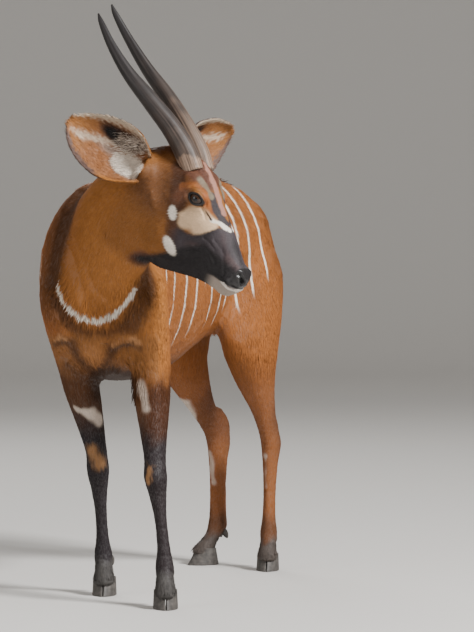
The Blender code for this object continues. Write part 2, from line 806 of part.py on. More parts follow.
def claw_shape(foot, side):
    """One half of a cloven hoof: flat below and inside, round outside, pointed at the toe."""
    heading = Vector(foot.heading).normalized()
    out = heading.cross(Vector((0, 0, 1))) * side
    profile = [
        (0.00, 0.55), (0.12, 0.84), (0.32, 1.00), (0.55, 0.97), (0.75, 0.76), (0.90, 0.42), (1.00, 0.10),
    ]
    rings = []
    for height in (0.0, 0.35, 0.75, 1.0):
        heel = CLAW_LENGTH * (-0.5 + 0.10 * height)
        toe = CLAW_LENGTH * (0.5 - 0.30 * height)
        width = CLAW_WIDTH * (1 - 0.10 * height)
        inner = 0.0013 + 0.0008 * height
        ring = []
        for along, reach in profile:
            ring.append((heel + (toe - heel) * along, inner + width * reach))
        ring.append((toe, inner))
        ring.append((heel + (toe - heel) * 0.5, inner))
        ring.append((heel, inner))
        rings.append([
            Vector((foot.x, foot.y, height * CORONET)) + heading * ahead + out * beside
            for ahead, beside in ring
        ])
    shape = bmesh.new()
    loops = [[shape.verts.new(point) for point in ring] for ring in rings]
    count = len(loops[0])
    for low, high in zip(loops, loops[1:]):
        for index in range(count):
            other = (index + 1) % count
            shape.faces.new((low[index], low[other], high[other], high[index]))
    shape.faces.new(loops[0])
    shape.faces.new(loops[-1])
    face_outwards(shape)
    return shape


def dewclaw_shape(foot, side, grow=0.0):
    """The small claw behind the fetlock."""
    heading = Vector(foot.heading).normalized()
    out = heading.cross(Vector((0, 0, 1))) * side
    down = (Vector((0, 0, -1)) - heading * 0.45 + out * 0.15).normalized()
    back = (down.cross(out)).normalized()
    centre = Vector((foot.x, foot.y, 0.095)) - heading * foot.rise + out * 0.016
    shape = bmesh.new()
    bmesh.ops.create_uvsphere(shape, u_segments=8, v_segments=5, radius=1.0)
    across, thick, tall = 0.0095 + grow, 0.0095 + grow, 0.0175 + grow
    for vert in shape.verts:
        taper = 1.0 + 0.25 * vert.co.z
        vert.co = (
            centre + out * (vert.co.x * across * taper) + back * (vert.co.y * thick * taper)
            - down * (vert.co.z * tall)
        )
    face_outwards(shape)
    return shape


def tail_shape(grow=0.0):
    rows = [Limb(row.x, row.y, row.z, row.across + grow, row.along + grow) for row in TAIL]
    return path_shape(rows, steps=2, count=10, overrun=grow)


def node_of(centre):
    """The name of the flesh node whose middle lies at the given place."""
    if centre.z > 0.95 and centre.x > -0.19 and centre.y < -0.10:
        return "head"
    if centre.z > 0.95 and centre.y < 0.02:
        return "neck"
    if centre.z > 0.70:
        return "torso"
    end = "foreleg" if centre.y < 0.55 else "hindleg"
    middle = -0.31 if end == "foreleg" else 0.0
    side = "right" if centre.x < middle else "left"
    joint = KNEE if end == "foreleg" else HOCK
    level = "upper" if centre.z > joint else "lower"
    return f"{end}_{level}_{side}"


def cuts():
    """The planes that part the flesh into its nodes."""
    level = (0.0, 0.0, 1.0)
    ahead = (0.0, 1.0, 0.0)
    return [
        Cut((-0.212, -0.178, 1.105), (0.74, -0.64, 0.20), level, 0.18, 0.26),
        Cut((-0.362, 0.020, 0.985), (0.25, -0.85, 0.46), level, 0.23, 0.320),
        Cut((-0.442, 0.200, 0.605), level, ahead, 0.090, 0.110),
        Cut((-0.236, 0.025, 0.605), level, ahead, 0.085, 0.110),
        Cut((-0.391, 0.222, KNEE), level, ahead, 0.060, 0.060),
        Cut((-0.222, -0.060, KNEE), level, ahead, 0.060, 0.060),
        Cut((-0.175, 0.950, 0.645), level, ahead, 0.120, 0.135),
        Cut((0.045, 0.782, 0.645), level, ahead, 0.120, 0.135),
        Cut((-0.058, 1.122, HOCK - 0.010), level, ahead, 0.070, 0.070),
        Cut((0.103, 0.934, HOCK - 0.010), level, ahead, 0.070, 0.070),
    ]


def make_ear(side, collection):
    leaf = make_object(f"ear_{side}", ear_sheet(side), collection)
    wall = leaf.modifiers.new("wall", "SOLIDIFY")
    wall.thickness = EAR_WALL
    wall.offset = 0.0
    apply_modifiers(leaf)
    fuse(leaf, [ear_root(side)])
    return leaf


def spine_places(torso, start, end, spacing):
    """Points on top of the back, each with the way towards the tail and the way up."""
    surface = bmesh.new()
    surface.from_mesh(torso.data)
    tree = BVHTree.FromBMesh(surface)
    surface.free()
    rows = np.array(smooth_rows(TRUNK, 5))[:, :2]
    steps = np.linalg.norm(np.diff(rows, axis=0), axis=1)
    lengths = np.concatenate([[0.0], np.cumsum(steps)])
    first = np.interp(start, rows[:, 1], lengths)
    last = np.interp(end, rows[:, 1], lengths)
    above = Vector((0, 0, 2))
    tops = []
    for length in np.arange(first, last, spacing):
        place = Vector((np.interp(length, lengths, rows[:, 0]), np.interp(length, lengths, rows[:, 1]), 0))
        tops.append(tree.ray_cast(place + above, -above)[0])
    places = []
    for index, top in enumerate(tops):
        along = (tops[min(index + 1, len(tops) - 1)] - tops[max(index - 1, 0)]).normalized()
        side = along.cross(Vector((0, 0, 1))).normalized()
        places.append((top, along, side.cross(along)))
    return places


def lock_shape(root, way, bend, face, length, half_width, half_thickness):
    """A flat lock of hair: it sets off in one way, bends in another, and tapers to its tip."""
    rings = []
    for share, swell in ((0.0, 0.75), (0.35, 1.0), (0.70, 0.72), (1.0, 0.10)):
        centre = root + way * (length * share) + bend * (length * share * share)
        tangent = (way + bend * (2 * share)).normalized()
        broad = tangent.cross(face).normalized()
        thin = broad.cross(tangent)
        rings.append(oval(
            centre, broad, thin, half_width * swell, half_thickness * swell,
            half_thickness * swell, count=4,
        ))
    return loft(rings)


def crest_locks(torso):
    """The low crest along the back: locks that lean back over one another."""
    draw = random.Random(5)
    locks = []
    places = spine_places(torso, CREST_START, CREST_END, CREST_SPACING)
    for index, (top, along, up) in enumerate(places):
        side = along.cross(up)
        lean = side * draw.uniform(-0.10, 0.10)
        swell = min(1.0, 0.5 + 0.15 * index, 0.45 + 0.11 * (len(places) - 1 - index))
        locks.append(lock_shape(
            top - up * (CREST_ROOT * swell), along * 0.70 + up * 0.72 + lean,
            along * 0.28 - up * 0.34, side, CREST_LENGTH * swell * draw.uniform(0.90, 1.10),
            CREST_HALF_WIDTH * swell, CREST_HALF_THICKNESS,
        ))
    return locks


def tuft_locks():
    """The tail's tuft: tiers of locks that hang down over one another."""
    draw = random.Random(9)
    rows = np.array(TAIL)[::-1]
    locks = []
    for tier, height in enumerate(TUFT_TIERS):
        for index in range(TUFT_LOCKS):
            angle = math.tau * (index + 0.5 * (tier % 2)) / TUFT_LOCKS + draw.uniform(-0.12, 0.12)
            out = Vector((math.cos(angle), math.sin(angle), 0.0))
            axis = Vector((
                np.interp(height, rows[:, 2], rows[:, 0]), np.interp(height, rows[:, 2], rows[:, 1]), height,
            ))
            locks.append(lock_shape(
                axis + out * TUFT_ROOT, Vector((0, 0, -0.96)) + out * 0.26, out * -0.20, out,
                TUFT_LENGTH * draw.uniform(0.85, 1.0), TUFT_HALF_WIDTH, TUFT_HALF_THICKNESS,
            ))
    return locks


def cut_seats(flesh, cutters):
    """Cut the floor, mouth, nostrils and the seats of eyes, horns, dewclaws and tail out of the flesh."""
    floor = bmesh.new()
    bmesh.ops.create_cube(floor, size=2.0)
    for vert in floor.verts:
        vert.co = Vector((vert.co.x * 2, vert.co.y * 2, CORONET + GAP - 0.1 + 0.1 * vert.co.z))
    seats = [floor, mouth_line(), tail_shape(GAP)]
    for side in (1, -1):
        seats += [eye_shape(side, EYE_RADIUS + GAP), horn_shape(side, GAP), nostril(side)]
        seats += [dewclaw_shape(foot, side, GAP) for foot in FEET.values()]
    group = bpy.data.collections.new("seats")
    cutters.children.link(group)
    for number, shape in enumerate(seats):
        cutter(f"seat_{number}", shape, group)
    boolean(flesh, "DIFFERENCE", group)
    for side in (1, -1):
        boolean(flesh, "DIFFERENCE", cutter(f"eye_opening_{side}", eye_opening(side), cutters))


def seat_ear(flesh, ear, cutters):
    """Cut the ear's root out of the skull, the gap wider than the ear."""
    grown = ear.copy()
    grown.data = ear.data.copy()
    for vert in grown.data.vertices:
        vert.co += vert.normal * GAP * 1.5
    cutters.objects.link(grown)
    grown.hide_render = True
    grown.display_type = "WIRE"
    boolean(flesh, "DIFFERENCE", grown)


def part_flesh(flesh, body, cutters):
    """Part the flesh with thin slabs and name each piece by where it lies."""
    group = bpy.data.collections.new("slabs")
    cutters.children.link(group)
    for number, cut in enumerate(cuts()):
        cutter(f"slab_{number}", slab(*cut), group)
    boolean(flesh, "DIFFERENCE", group)
    for numbers in loose_pieces(flesh.data):
        shape = piece_shape(flesh.data, numbers)
        centre = sum((vert.co for vert in shape.verts), Vector()) / len(shape.verts)
        name = node_of(centre)
        if name in bpy.data.objects:
            shape.free()
            continue
        make_object(name, shape, body)
    bpy.data.objects.remove(flesh)


def stand_at_origin(body):
    """Hang all nodes on an empty that brings the origin to the floor under the middle of the box."""
    corners = np.array([vert.co[:] for thing in body.objects for vert in thing.data.vertices])
    low = corners.min(axis=0)
    high = corners.max(axis=0)
    stance = bpy.data.objects.new("stance", None)
    stance.location = (-(low[0] + high[0]) / 2, -(low[1] + high[1]) / 2, -low[2])
    for thing in body.objects:
        thing.parent = stance
    body.objects.link(stance)


def main():
    clear_scene()
    body = bpy.data.collections.new("bongo antelope")
    cutters = bpy.data.collections.new("cutters")
    for collection in (body, cutters):
        bpy.context.scene.collection.children.link(collection)
    flesh = make_flesh()
    thin_out(flesh, FLESH_TRIANGLES)
    cut_seats(flesh, cutters)
    for side in ("right", "left"):
        seat_ear(flesh, make_ear(side, body), cutters)
    part_flesh(flesh, body, cutters)
    torso = bpy.data.objects["torso"]
    fuse(torso, crest_locks(torso))
    for sign, side in ((1, "right"), (-1, "left")):
        make_object(f"eye_{side}", eye_shape(sign, EYE_RADIUS), body)
        make_object(f"horn_{side}", horn_shape(sign), body)
    for place, foot in FEET.items():
        outward = 1 if place.endswith("right") else -1
        for sign, side in ((outward, "outer"), (-outward, "inner")):
            make_object(f"claw_{place}_{side}", claw_shape(foot, sign), body)
            make_object(f"dewclaw_{place}_{side}", dewclaw_shape(foot, sign), body)
    fuse(make_object("tail", tail_shape(), body), tuft_locks())
    for thing in body.objects:
        finish(thing)
    stand_at_origin(body)


main()
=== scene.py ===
"""The looks of a life-size female bongo antelope: skin, coat, ears, eyes, horns, hooves, stage.

Metres, +Z up. She faces -Y with her head turned to her own left, so her left side is at +X.
The tables give her in the stance frame, in which her trunk was drawn; every finished piece
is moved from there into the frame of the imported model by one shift, read off her right eye.
"""

import math
from collections import namedtuple
import bmesh
import bpy
import numpy as np
from bpy.props import FloatProperty, FloatVectorProperty, IntProperty, PointerProperty
from mathutils import Matrix, Vector
from mathutils.kdtree import KDTree


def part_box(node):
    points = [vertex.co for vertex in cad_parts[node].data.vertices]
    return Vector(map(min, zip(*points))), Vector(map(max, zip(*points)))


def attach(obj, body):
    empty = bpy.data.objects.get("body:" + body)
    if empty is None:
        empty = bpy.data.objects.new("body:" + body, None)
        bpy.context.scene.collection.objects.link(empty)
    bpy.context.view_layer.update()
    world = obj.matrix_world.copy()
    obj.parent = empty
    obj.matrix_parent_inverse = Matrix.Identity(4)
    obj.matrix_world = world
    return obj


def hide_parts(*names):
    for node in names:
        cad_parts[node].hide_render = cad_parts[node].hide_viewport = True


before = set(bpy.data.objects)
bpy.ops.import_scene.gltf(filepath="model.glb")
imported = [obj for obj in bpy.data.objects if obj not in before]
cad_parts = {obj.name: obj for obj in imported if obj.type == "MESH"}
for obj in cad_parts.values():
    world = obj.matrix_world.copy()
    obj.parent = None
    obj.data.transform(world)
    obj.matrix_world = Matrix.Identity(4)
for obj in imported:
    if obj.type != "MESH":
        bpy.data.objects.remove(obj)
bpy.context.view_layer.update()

bl_info = {
    "name": "Bongo antelope",
    "version": (1, 0, 0),
    "blender": (4, 5, 0),
    "location": "3D View > Sidebar > Bongo",
    "description": "A life-size bongo antelope with its coat, horns, hooves and stage",
    "category": "Add Mesh",
}

WITHERS = 1.165
KNEE = 0.355
HOCK = 0.385
ELBOW = 0.660
STIFLE = 0.670
FETLOCK = 0.112
CORONET = 0.052

EYE_RADIUS = 0.022
EYE_PLACE = (0.014, 0.008, 0.051)
HORN_RADIUS = 0.030
EAR_WIDTH = 0.168
EAR_WALL = 0.0045
EAR_ROOT = 0.031
EAR_START = 0.16
EAR_REACH = 0.19
CLAW_LENGTH = 0.098
CLAW_WIDTH = 0.033
FLOOR_GAP = 0.0002
TIP_SHARE = 0.7
VOXEL = 0.0055
EAR_VOXEL = 0.0026
CREASE_ROUNDS = 40
CREASE_SOFTNESS = 0.06
SKIN_TRIANGLES = 76000
SHORTEST_EDGE = 0.0048
HEAD_HALF_WIDTH = 0.14
PICTURE_HEIGHT = 632
HORIZON_DROP = 86
SENSOR = 36
UP = Vector((0, 0, 1))
SIDES = {"right": 1, "left": -1}

Trunk = namedtuple("Trunk", "x y top bottom half crown")
Limb = namedtuple("Limb", "x y z across along")
Face = namedtuple("Face", "forward top bottom half keel")
Horn = namedtuple("Horn", "forward up apart radius")
Ear = namedtuple("Ear", "along half curl")
Foot = namedtuple("Foot", "x y heading rise")
Coat = namedtuple("Coat", "density length width thickness lift stray tuft")
Tones = namedtuple("Tones", "chestnut golden brown soot grey white tan bare moss")

TRUNK = [
    Trunk(-0.350, -0.085, 0.960, 0.760, 0.080, 0.00),
    Trunk(-0.358, -0.030, 1.040, 0.680, 0.132, 0.00),
    Trunk(-0.370, 0.080, WITHERS - 0.010, 0.632, 0.166, 0.12),
    Trunk(-0.370, 0.200, WITHERS, 0.615, 0.186, 0.14),
    Trunk(-0.352, 0.330, WITHERS - 0.010, 0.600, 0.214, 0.12),
    Trunk(-0.305, 0.520, WITHERS - 0.012, 0.600, 0.232, 0.12),
    Trunk(-0.220, 0.690, WITHERS + 0.006, 0.650, 0.212, 0.14),
    Trunk(-0.120, 0.830, WITHERS + 0.026, 0.720, 0.186, 0.18),
    Trunk(-0.030, 0.945, WITHERS + 0.000, 0.790, 0.162, 0.18),
    Trunk(0.026, 1.015, WITHERS - 0.070, 0.850, 0.112, 0.15),
]

FORE_SHAPE = [
    (0.570, 0.052, 0.068), (0.480, 0.040, 0.048), (0.405, 0.032, 0.037), (KNEE, 0.034, 0.039),
    (0.305, 0.026, 0.030), (0.240, 0.019, 0.024), (0.165, 0.020, 0.025), (FETLOCK, 0.028, 0.032),
    (0.082, 0.026, 0.029), (CORONET, 0.030, 0.036), (0.030, 0.030, 0.036),
]
HIND_SHAPE = [
    (STIFLE, 0.068, 0.118), (0.575, 0.052, 0.082), (0.490, 0.033, 0.056), (0.430, 0.027, 0.052),
    (HOCK, 0.030, 0.045), (0.325, 0.024, 0.036), (0.250, 0.020, 0.031), (0.165, 0.021, 0.031),
    (FETLOCK, 0.028, 0.034), (0.082, 0.026, 0.029), (CORONET, 0.030, 0.036), (0.030, 0.030, 0.036),
]


def lower_leg(course, shape):
    """The rows of a lower leg: its own course at the heights and half sizes that both sides share."""
    return [Limb(x, y, *row) for (x, y), row in zip(course, shape)]

RIGHT_FORE = [
    Limb(-0.410, 0.200, 1.070, 0.025, 0.040),
    Limb(-0.462, 0.130, 0.960, 0.068, 0.100),
    Limb(-0.472, 0.075, 0.860, 0.078, 0.115),
    Limb(-0.465, 0.125, 0.750, 0.070, 0.115),
    Limb(-0.450, 0.190, ELBOW, 0.060, 0.092),
    *lower_leg([
        (-0.432, 0.203), (-0.411, 0.213), (-0.395, 0.220), (-0.391, 0.222), (-0.388, 0.236),
        (-0.384, 0.248), (-0.380, 0.260), (-0.378, 0.268), (-0.376, 0.254), (-0.375, 0.240),
        (-0.375, 0.238),
    ], FORE_SHAPE),
]

LEFT_FORE = [
    Limb(-0.330, 0.170, 1.070, 0.025, 0.040),
    Limb(-0.275, 0.080, 0.960, 0.066, 0.100),
    Limb(-0.262, 0.010, 0.860, 0.074, 0.115),
    Limb(-0.250, 0.025, 0.750, 0.068, 0.115),
    Limb(-0.238, 0.040, ELBOW, 0.058, 0.092),
    *lower_leg([
        (-0.233, 0.010), (-0.228, -0.020), (-0.224, -0.045), (-0.222, -0.060), (-0.216, -0.056),
        (-0.208, -0.060), (-0.200, -0.064), (-0.197, -0.066), (-0.196, -0.081), (-0.195, -0.096),
        (-0.195, -0.098),
    ], FORE_SHAPE),
]

HEELS = [
    Limb(-0.040, 1.130, HOCK + 0.045, 0.018, 0.026),
    Limb(0.110, 0.962, HOCK + 0.045, 0.018, 0.026),
]

RIGHT_HIND = [
    Limb(-0.100, 0.900, 1.060, 0.025, 0.050),
    Limb(-0.148, 0.952, 0.930, 0.080, 0.150),
    Limb(-0.175, 0.945, 0.810, 0.082, 0.155),
    *lower_leg([
        (-0.180, 0.938), (-0.150, 0.982), (-0.110, 1.045), (-0.074, 1.098), (-0.058, 1.122),
        (-0.058, 1.125), (-0.059, 1.126), (-0.059, 1.126), (-0.061, 1.120), (-0.080, 1.109),
        (-0.102, 1.098), (-0.106, 1.096),
    ], HIND_SHAPE),
]

LEFT_HIND = [
    Limb(-0.020, 0.850, 1.080, 0.045, 0.080),
    Limb(0.016, 0.840, 0.945, 0.083, 0.150),
    Limb(0.031, 0.805, 0.810, 0.080, 0.155),
    *lower_leg([
        (0.040, 0.772), (0.055, 0.810), (0.078, 0.868), (0.094, 0.912), (0.103, 0.934),
        (0.101, 0.940), (0.099, 0.942), (0.097, 0.942), (0.096, 0.944), (0.094, 0.930),
        (0.092, 0.914), (0.092, 0.912),
    ], HIND_SHAPE),
]

LEGS = {"leg_fr": RIGHT_FORE, "leg_fl": LEFT_FORE, "leg_hr": RIGHT_HIND, "leg_hl": LEFT_HIND}

NECK = [
    Limb(-0.370, 0.130, 0.945, 0.125, 0.200),
    Limb(-0.360, 0.040, 0.970, 0.112, 0.190),
    Limb(-0.336, -0.050, 1.022, 0.102, 0.162),
    Limb(-0.288, -0.125, 1.085, 0.098, 0.138),
    Limb(-0.235, -0.180, 1.130, 0.092, 0.122),
    Limb(-0.180, -0.222, 1.145, 0.080, 0.112),
]

TAIL = [
    Limb(0.000, 0.975, 1.085, 0.030, 0.030),
    Limb(0.030, 1.020, 1.060, 0.026, 0.024),
    Limb(0.046, 1.045, 0.990, 0.019, 0.018),
    Limb(0.050, 1.052, 0.880, 0.015, 0.014),
    Limb(0.052, 1.052, 0.780, 0.014, 0.013),
    Limb(0.054, 1.052, 0.710, 0.014, 0.013),
    Limb(0.055, 1.050, 0.660, 0.012, 0.011),
    Limb(0.056, 1.048, 0.620, 0.006, 0.006),
]

FEET = {
    "fore_right": Foot(-0.375, 0.245, (-0.05, -1.0, 0.0), 0.048),
    "fore_left": Foot(-0.194, -0.091, (0.05, -1.0, 0.0), 0.048),
    "hind_right": Foot(-0.108, 1.0945, (-0.866, -0.50, 0.0), 0.073),
    "hind_left": Foot(0.092, 0.919, (-0.10, -1.0, 0.0), 0.051),
}

HORN = [
    Horn(-0.052, 0.048, 0.0300, HORN_RADIUS),
    Horn(-0.100, 0.078, 0.0330, 0.0300),
    Horn(-0.175, 0.107, 0.0400, 0.0265),
    Horn(-0.270, 0.131, 0.053, 0.0225),
    Horn(-0.365, 0.151, 0.059, 0.0175),
    Horn(-0.455, 0.180, 0.058, 0.0125),
    Horn(-0.525, 0.210, 0.052, 0.0080),
    Horn(-0.552, 0.225, 0.050, 0.0025),
]

HORN_REACH = {1: 0.965, -1: 1.035}

EAR_PROFILE = [
    Ear(0.00, 0.46, 2.00),
    Ear(0.12, 0.66, 1.75),
    Ear(0.28, 0.90, 1.40),
    Ear(0.46, 1.00, 1.15),
    Ear(0.64, 0.94, 0.95),
    Ear(0.80, 0.76, 0.80),
    Ear(0.92, 0.50, 0.65),
    Ear(1.00, 0.16, 0.50),
]

EAR_TIPS = {"right": (-0.378, -0.020, 0.163), "left": (-0.173, 0.108, -0.293)}
EAR_OPENS = {"right": Vector((0.10, -1.0, 0.15)), "left": Vector((0.95, -0.24, 0.10))}

HEAD = [
    Face(-0.165, 0.038, -0.150, 0.068, 0.10),
    Face(-0.115, 0.066, -0.200, 0.076, 0.15),
    Face(-0.060, 0.080, -0.230, 0.077, 0.20),
    Face(0.000, 0.062, -0.230, 0.069, 0.22),
    Face(0.050, 0.033, -0.211, 0.060, 0.22),
    Face(0.100, 0.001, -0.189, 0.050, 0.20),
    Face(0.140, -0.020, -0.176, 0.043, 0.18),
    Face(0.178, -0.045, -0.170, 0.038, 0.15),
    Face(0.209, -0.065, -0.163, 0.036, 0.12),
    Face(0.229, -0.080, -0.150, 0.030, 0.05),
    Face(0.239, -0.096, -0.134, 0.016, 0.00),
]

STRIPES = {
    "left": (0.245, 0.331, 0.422, 0.510, 0.598, 0.703, 0.809, 0.866, 0.9285, 0.9925, 1.0655),
    "right": (0.262, 0.340, 0.431, 0.520, 0.612, 0.700, 0.792, 0.868, 0.936, 1.003, 1.070),
}

CRESCENT = [
    (-0.486, -0.045, 0.884), (-0.473, -0.062, 0.837), (-0.454, -0.076, 0.812), (-0.426, -0.086, 0.794),
    (-0.377, -0.089, 0.783), (-0.331, -0.083, 0.802), (-0.295, -0.096, 0.840), (-0.276, -0.104, 0.868),
]


def colour(name, description, value):
    return FloatVectorProperty(
        name=name, description=description, subtype="COLOR", size=3, min=0.0, max=1.0, default=value
    )


def length(name, description, value):
    return FloatProperty(name=name, description=description, default=value, min=0.0, unit="LENGTH")


def number(name, description, value):
    return FloatProperty(name=name, description=description, default=value, min=0.0)


class BongoCoat(bpy.types.PropertyGroup):
    """Sizes and colours of the coat."""

    body_depth: length("Body depth", "Thickness of the coat on trunk and neck", 0.0040)
    leg_depth: length("Leg depth", "Thickness of the coat on the lower legs", 0.0020)
    head_depth: length("Head depth", "Thickness of the coat on the face", 0.0014)
    fullness: number("Fullness", "Share of the full number of tufts", 1.0)
    seed: IntProperty(name="Seed", description="Seed of all random draws in the coat", default=4)
    chestnut: colour("Chestnut", "Flanks and rump", (0.285, 0.098, 0.026))
    golden: colour("Golden brown", "Side of the neck", (0.350, 0.135, 0.033))
    # Dark brown is also laid as painted shade: on the shoulder's and the neck's edges, below the crescent,
    # in the breast's folds, on the belly and on the legs. Soot is also painted shade under the jaw and in
    # the nostrils.
    brown: colour("Dark brown", "Cheek, nape and shoulder edge", (0.078, 0.033, 0.015))
    soot: colour("Soot", "Lower legs, muzzle and jaw", (0.019, 0.016, 0.017))
    grey: colour("Muzzle grey", "Upper side of the muzzle", (0.048, 0.038, 0.042))
    white: colour("White", "Stripes, crescent and spots", (0.80, 0.72, 0.62))
    tan: colour("Pale tan", "Patch below the eye", (0.66, 0.46, 0.29))
    bare: colour("Bare skin", "Worn streak on the forehead", (0.34, 0.160, 0.115))
    moss: colour("Worn patch", "Greenish grey patch before the eye", (0.20, 0.160, 0.110))


class BongoHorn(bpy.types.PropertyGroup):
    """Sizes and colours of the horns and hooves."""

    keel: number("Keel", "Height of the keel as a share of the radius", 0.13)
    dark: colour("Dark horn", "Upper part of the horns", (0.019, 0.016, 0.016))
    pale_wear_and_highlight: colour("Worn horn", "Rubbed bases of the horns", (0.205, 0.136, 0.096))
    hoof: colour("Hoof", "Grey horn of the hooves", (0.062, 0.055, 0.049))


class BongoStage(bpy.types.PropertyGroup):
    """The floor, the light and the camera."""

    distance: length("Camera distance", "From the camera to the stance frame's front plane", 9.0)
    height: length("Camera height", "Height of the camera over the floor", 1.03)
    focal: number("Focal length", "In pixels of the 474 x 632 picture", 3285.0)
    floor: colour("Floor", "Plain pale floor", (0.62, 0.60, 0.57))
    key: number("Key light", "Strength of the main lamp in watts", 1250.0)
    fill: number("Fill light", "Strength of the second lamp in watts", 110.0)
    sky: number("Sky", "Strength of the even light", 0.45)


class HeadFrame:
    """The head's own directions: forward to the nose, up out of the forehead, right to its right."""

    eyes = Vector((-0.092, -0.259, 1.115))
    yaw = math.radians(30)
    pitch = math.radians(37)
    forward = Vector((
        math.cos(pitch) * math.cos(yaw),
        -math.cos(pitch) * math.sin(yaw),
        -math.sin(pitch),
    ))
    up = Vector((
        math.sin(pitch) * math.cos(yaw),
        -math.sin(pitch) * math.sin(yaw),
        math.cos(pitch),
    ))
    right = Vector((-math.sin(yaw), -math.cos(yaw), 0.0))

    @classmethod
    def point(cls, forward, up, right=0.0):
        return cls.eyes + cls.forward * forward + cls.up * up + cls.right * right

    @classmethod
    def way(cls, forward, up, right=0.0):
        return (cls.forward * forward + cls.up * up + cls.right * right).normalized()

    @classmethod
    def read(cls, places):
        """Forward, up and right of many places at once."""
        away = places - np.array(cls.eyes)
        return away @ np.array(cls.forward), away @ np.array(cls.up), away @ np.array(cls.right)


def frame_shift():
    """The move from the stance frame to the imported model's frame, read off the right eye."""
    low, high = (Vector(corner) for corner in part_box("eye_right"))
    return (low + high) / 2 - HeadFrame.point(*EYE_PLACE)


def smooth_rows(rows, steps):
    """Rows read off the Catmull-Rom curve through the given rows, with steps between each two."""
    points = np.array(rows, dtype=float)
    padded = np.vstack([2 * points[0] - points[1], points, 2 * points[-1] - points[-2]])
    result = []
    for index in range(len(points) - 1):
        before, start, end, after = padded[index:index + 4]
        for step in range(steps):
            t = step / steps
            result.append(0.5 * (
                2 * start
                + (end - before) * t
                + (2 * before - 5 * start + 4 * end - after) * t * t
                + (3 * start - before - 3 * end + after) * t ** 3
            ))
    result.append(points[-1])
    return result


def face_outwards(shape):
    shape.normal_update()
    bmesh.ops.recalc_face_normals(shape, faces=shape.faces[:])


def bridge(shape, loops, closed=True):
    """Faces from each row of vertices to the next; closed rows are rings."""
    count = len(loops[0])
    for low, high in zip(loops, loops[1:]):
        for index in range(count if closed else count - 1):
            other = (index + 1) % count
            shape.faces.new((low[index], low[other], high[other], high[index]))


def loft(rings):
    """A closed mesh through rings of points, its two ends closed by a point in the middle."""
    shape = bmesh.new()
    loops = [[shape.verts.new(point) for point in ring] for ring in rings]
    bridge(shape, loops)
    count = len(rings[0])
    for loop in (loops[0], loops[-1]):
        tip = shape.verts.new(sum((vert.co for vert in loop), Vector()) / count)
        for index in range(count):
            shape.faces.new((tip, loop[index], loop[(index + 1) % count]))
    face_outwards(shape)
    return shape


def rounded(value, power):
    return math.copysign(abs(value) ** power, value)


def oval(centre, side, up, half_side, half_up, half_down, keel=0.0, crown=0.0, count=28, power=1.0):
    """One ring: keel narrows its lower half, crown its upper half, a low power squares it."""
    ring = []
    for index in range(count):
        angle = math.tau * index / count
        across = rounded(math.cos(angle), power)
        height = rounded(math.sin(angle), power)
        reach = half_up if height > 0 else half_down
        narrowing = (crown if height > 0 else keel) * height * height
        ring.append(centre + side * (half_side * across * (1 - narrowing)) + up * (reach * height))
    return ring


def trunk_shape():
    rows = smooth_rows(TRUNK, 5)
    rings = []
    for index, row in enumerate(rows):
        x, y, top, bottom, half, crown = row
        ahead = rows[min(index + 1, len(rows) - 1)]
        behind = rows[max(index - 1, 0)]
        along = Vector((ahead[0] - behind[0], ahead[1] - behind[1], 0)).normalized()
        side = along.cross(UP)
        middle = bottom + 0.52 * (top - bottom)
        rings.append(oval(
            Vector((x, y, middle)), side, UP,
            half, top - middle, middle - bottom, keel=0.10, crown=crown, power=0.88,
        ))
    return loft(rings)


def limb_shape(rows, heading_top, heading_foot, steps=4):
    """A limb whose sections lie flat, turned from the upper heading to the foot's heading."""
    read = smooth_rows(rows, steps)
    rings = []
    for index, (x, y, z, across, along) in enumerate(read):
        share = index / (len(read) - 1)
        heading = (Vector(heading_top) * (1 - share) + Vector(heading_foot) * share).normalized()
        side = heading.cross(UP).normalized()
        rings.append(oval(Vector((x, y, z)), side, heading, across, along, along, count=20))
    return loft(rings)


def path_shape(rows, steps=5, count=24):
    """A tube whose rings stand square to its own path; along is its half height."""
    read = smooth_rows(rows, steps)
    rings = []
    for index, (x, y, z, across, along) in enumerate(read):
        ahead = Vector(read[min(index + 1, len(read) - 1)][:3])
        behind = Vector(read[max(index - 1, 0)][:3])
        tangent = (ahead - behind).normalized()
        side = tangent.cross(UP).normalized()
        up = side.cross(tangent).normalized()
        rings.append(oval(Vector((x, y, z)), side, up, across, along, along, count=count))
    return loft(rings)


def head_shape():
    rings = []
    for forward, top, bottom, half, keel in smooth_rows(HEAD, 4):
        middle = bottom + 0.62 * (top - bottom)
        rings.append(oval(
            HeadFrame.point(forward, middle), HeadFrame.right, HeadFrame.up,
            half, top - middle, middle - bottom, keel=keel, crown=0.32, power=0.80,
        ))
    return loft(rings)


def ball(centre, axes, radii):
    """An ellipsoid with the given centre, three directions and three radii."""
    shape = bmesh.new()
    bmesh.ops.create_icosphere(shape, subdivisions=2, radius=1.0)
    turn = Matrix.Identity(3)
    for column, (axis, radius) in enumerate(zip(axes, radii)):
        for row in range(3):
            turn[row][column] = axis[row] * radius
    for vert in shape.verts:
        vert.co = centre + turn @ vert.co
    face_outwards(shape)
    return shape


def head_ball(forward, up, right, radii, tilt=0.0):
    """An ellipsoid given in the head's directions, tilted nose-up by an angle in degrees."""
    angle = math.radians(tilt)
    ahead = HeadFrame.way(math.cos(angle), math.sin(angle))
    above = HeadFrame.way(-math.sin(angle), math.cos(angle))
    return ball(HeadFrame.point(forward, up, right), (ahead, above, HeadFrame.right), radii)


def heel_shape(heel, limb):
    """The point of the hock, drawn out along the tendon that runs up behind the leg."""
    knee_end, hock_end = (Vector(limb[index][:3]) for index in (4, 6))
    tendon = (knee_end - hock_end).normalized()
    side = tendon.cross(UP).normalized()
    centre = Vector((heel.x, heel.y, heel.z)) + tendon * 0.022
    return ball(centre, (side, side.cross(tendon), tendon), (heel.across, heel.along, 0.062))


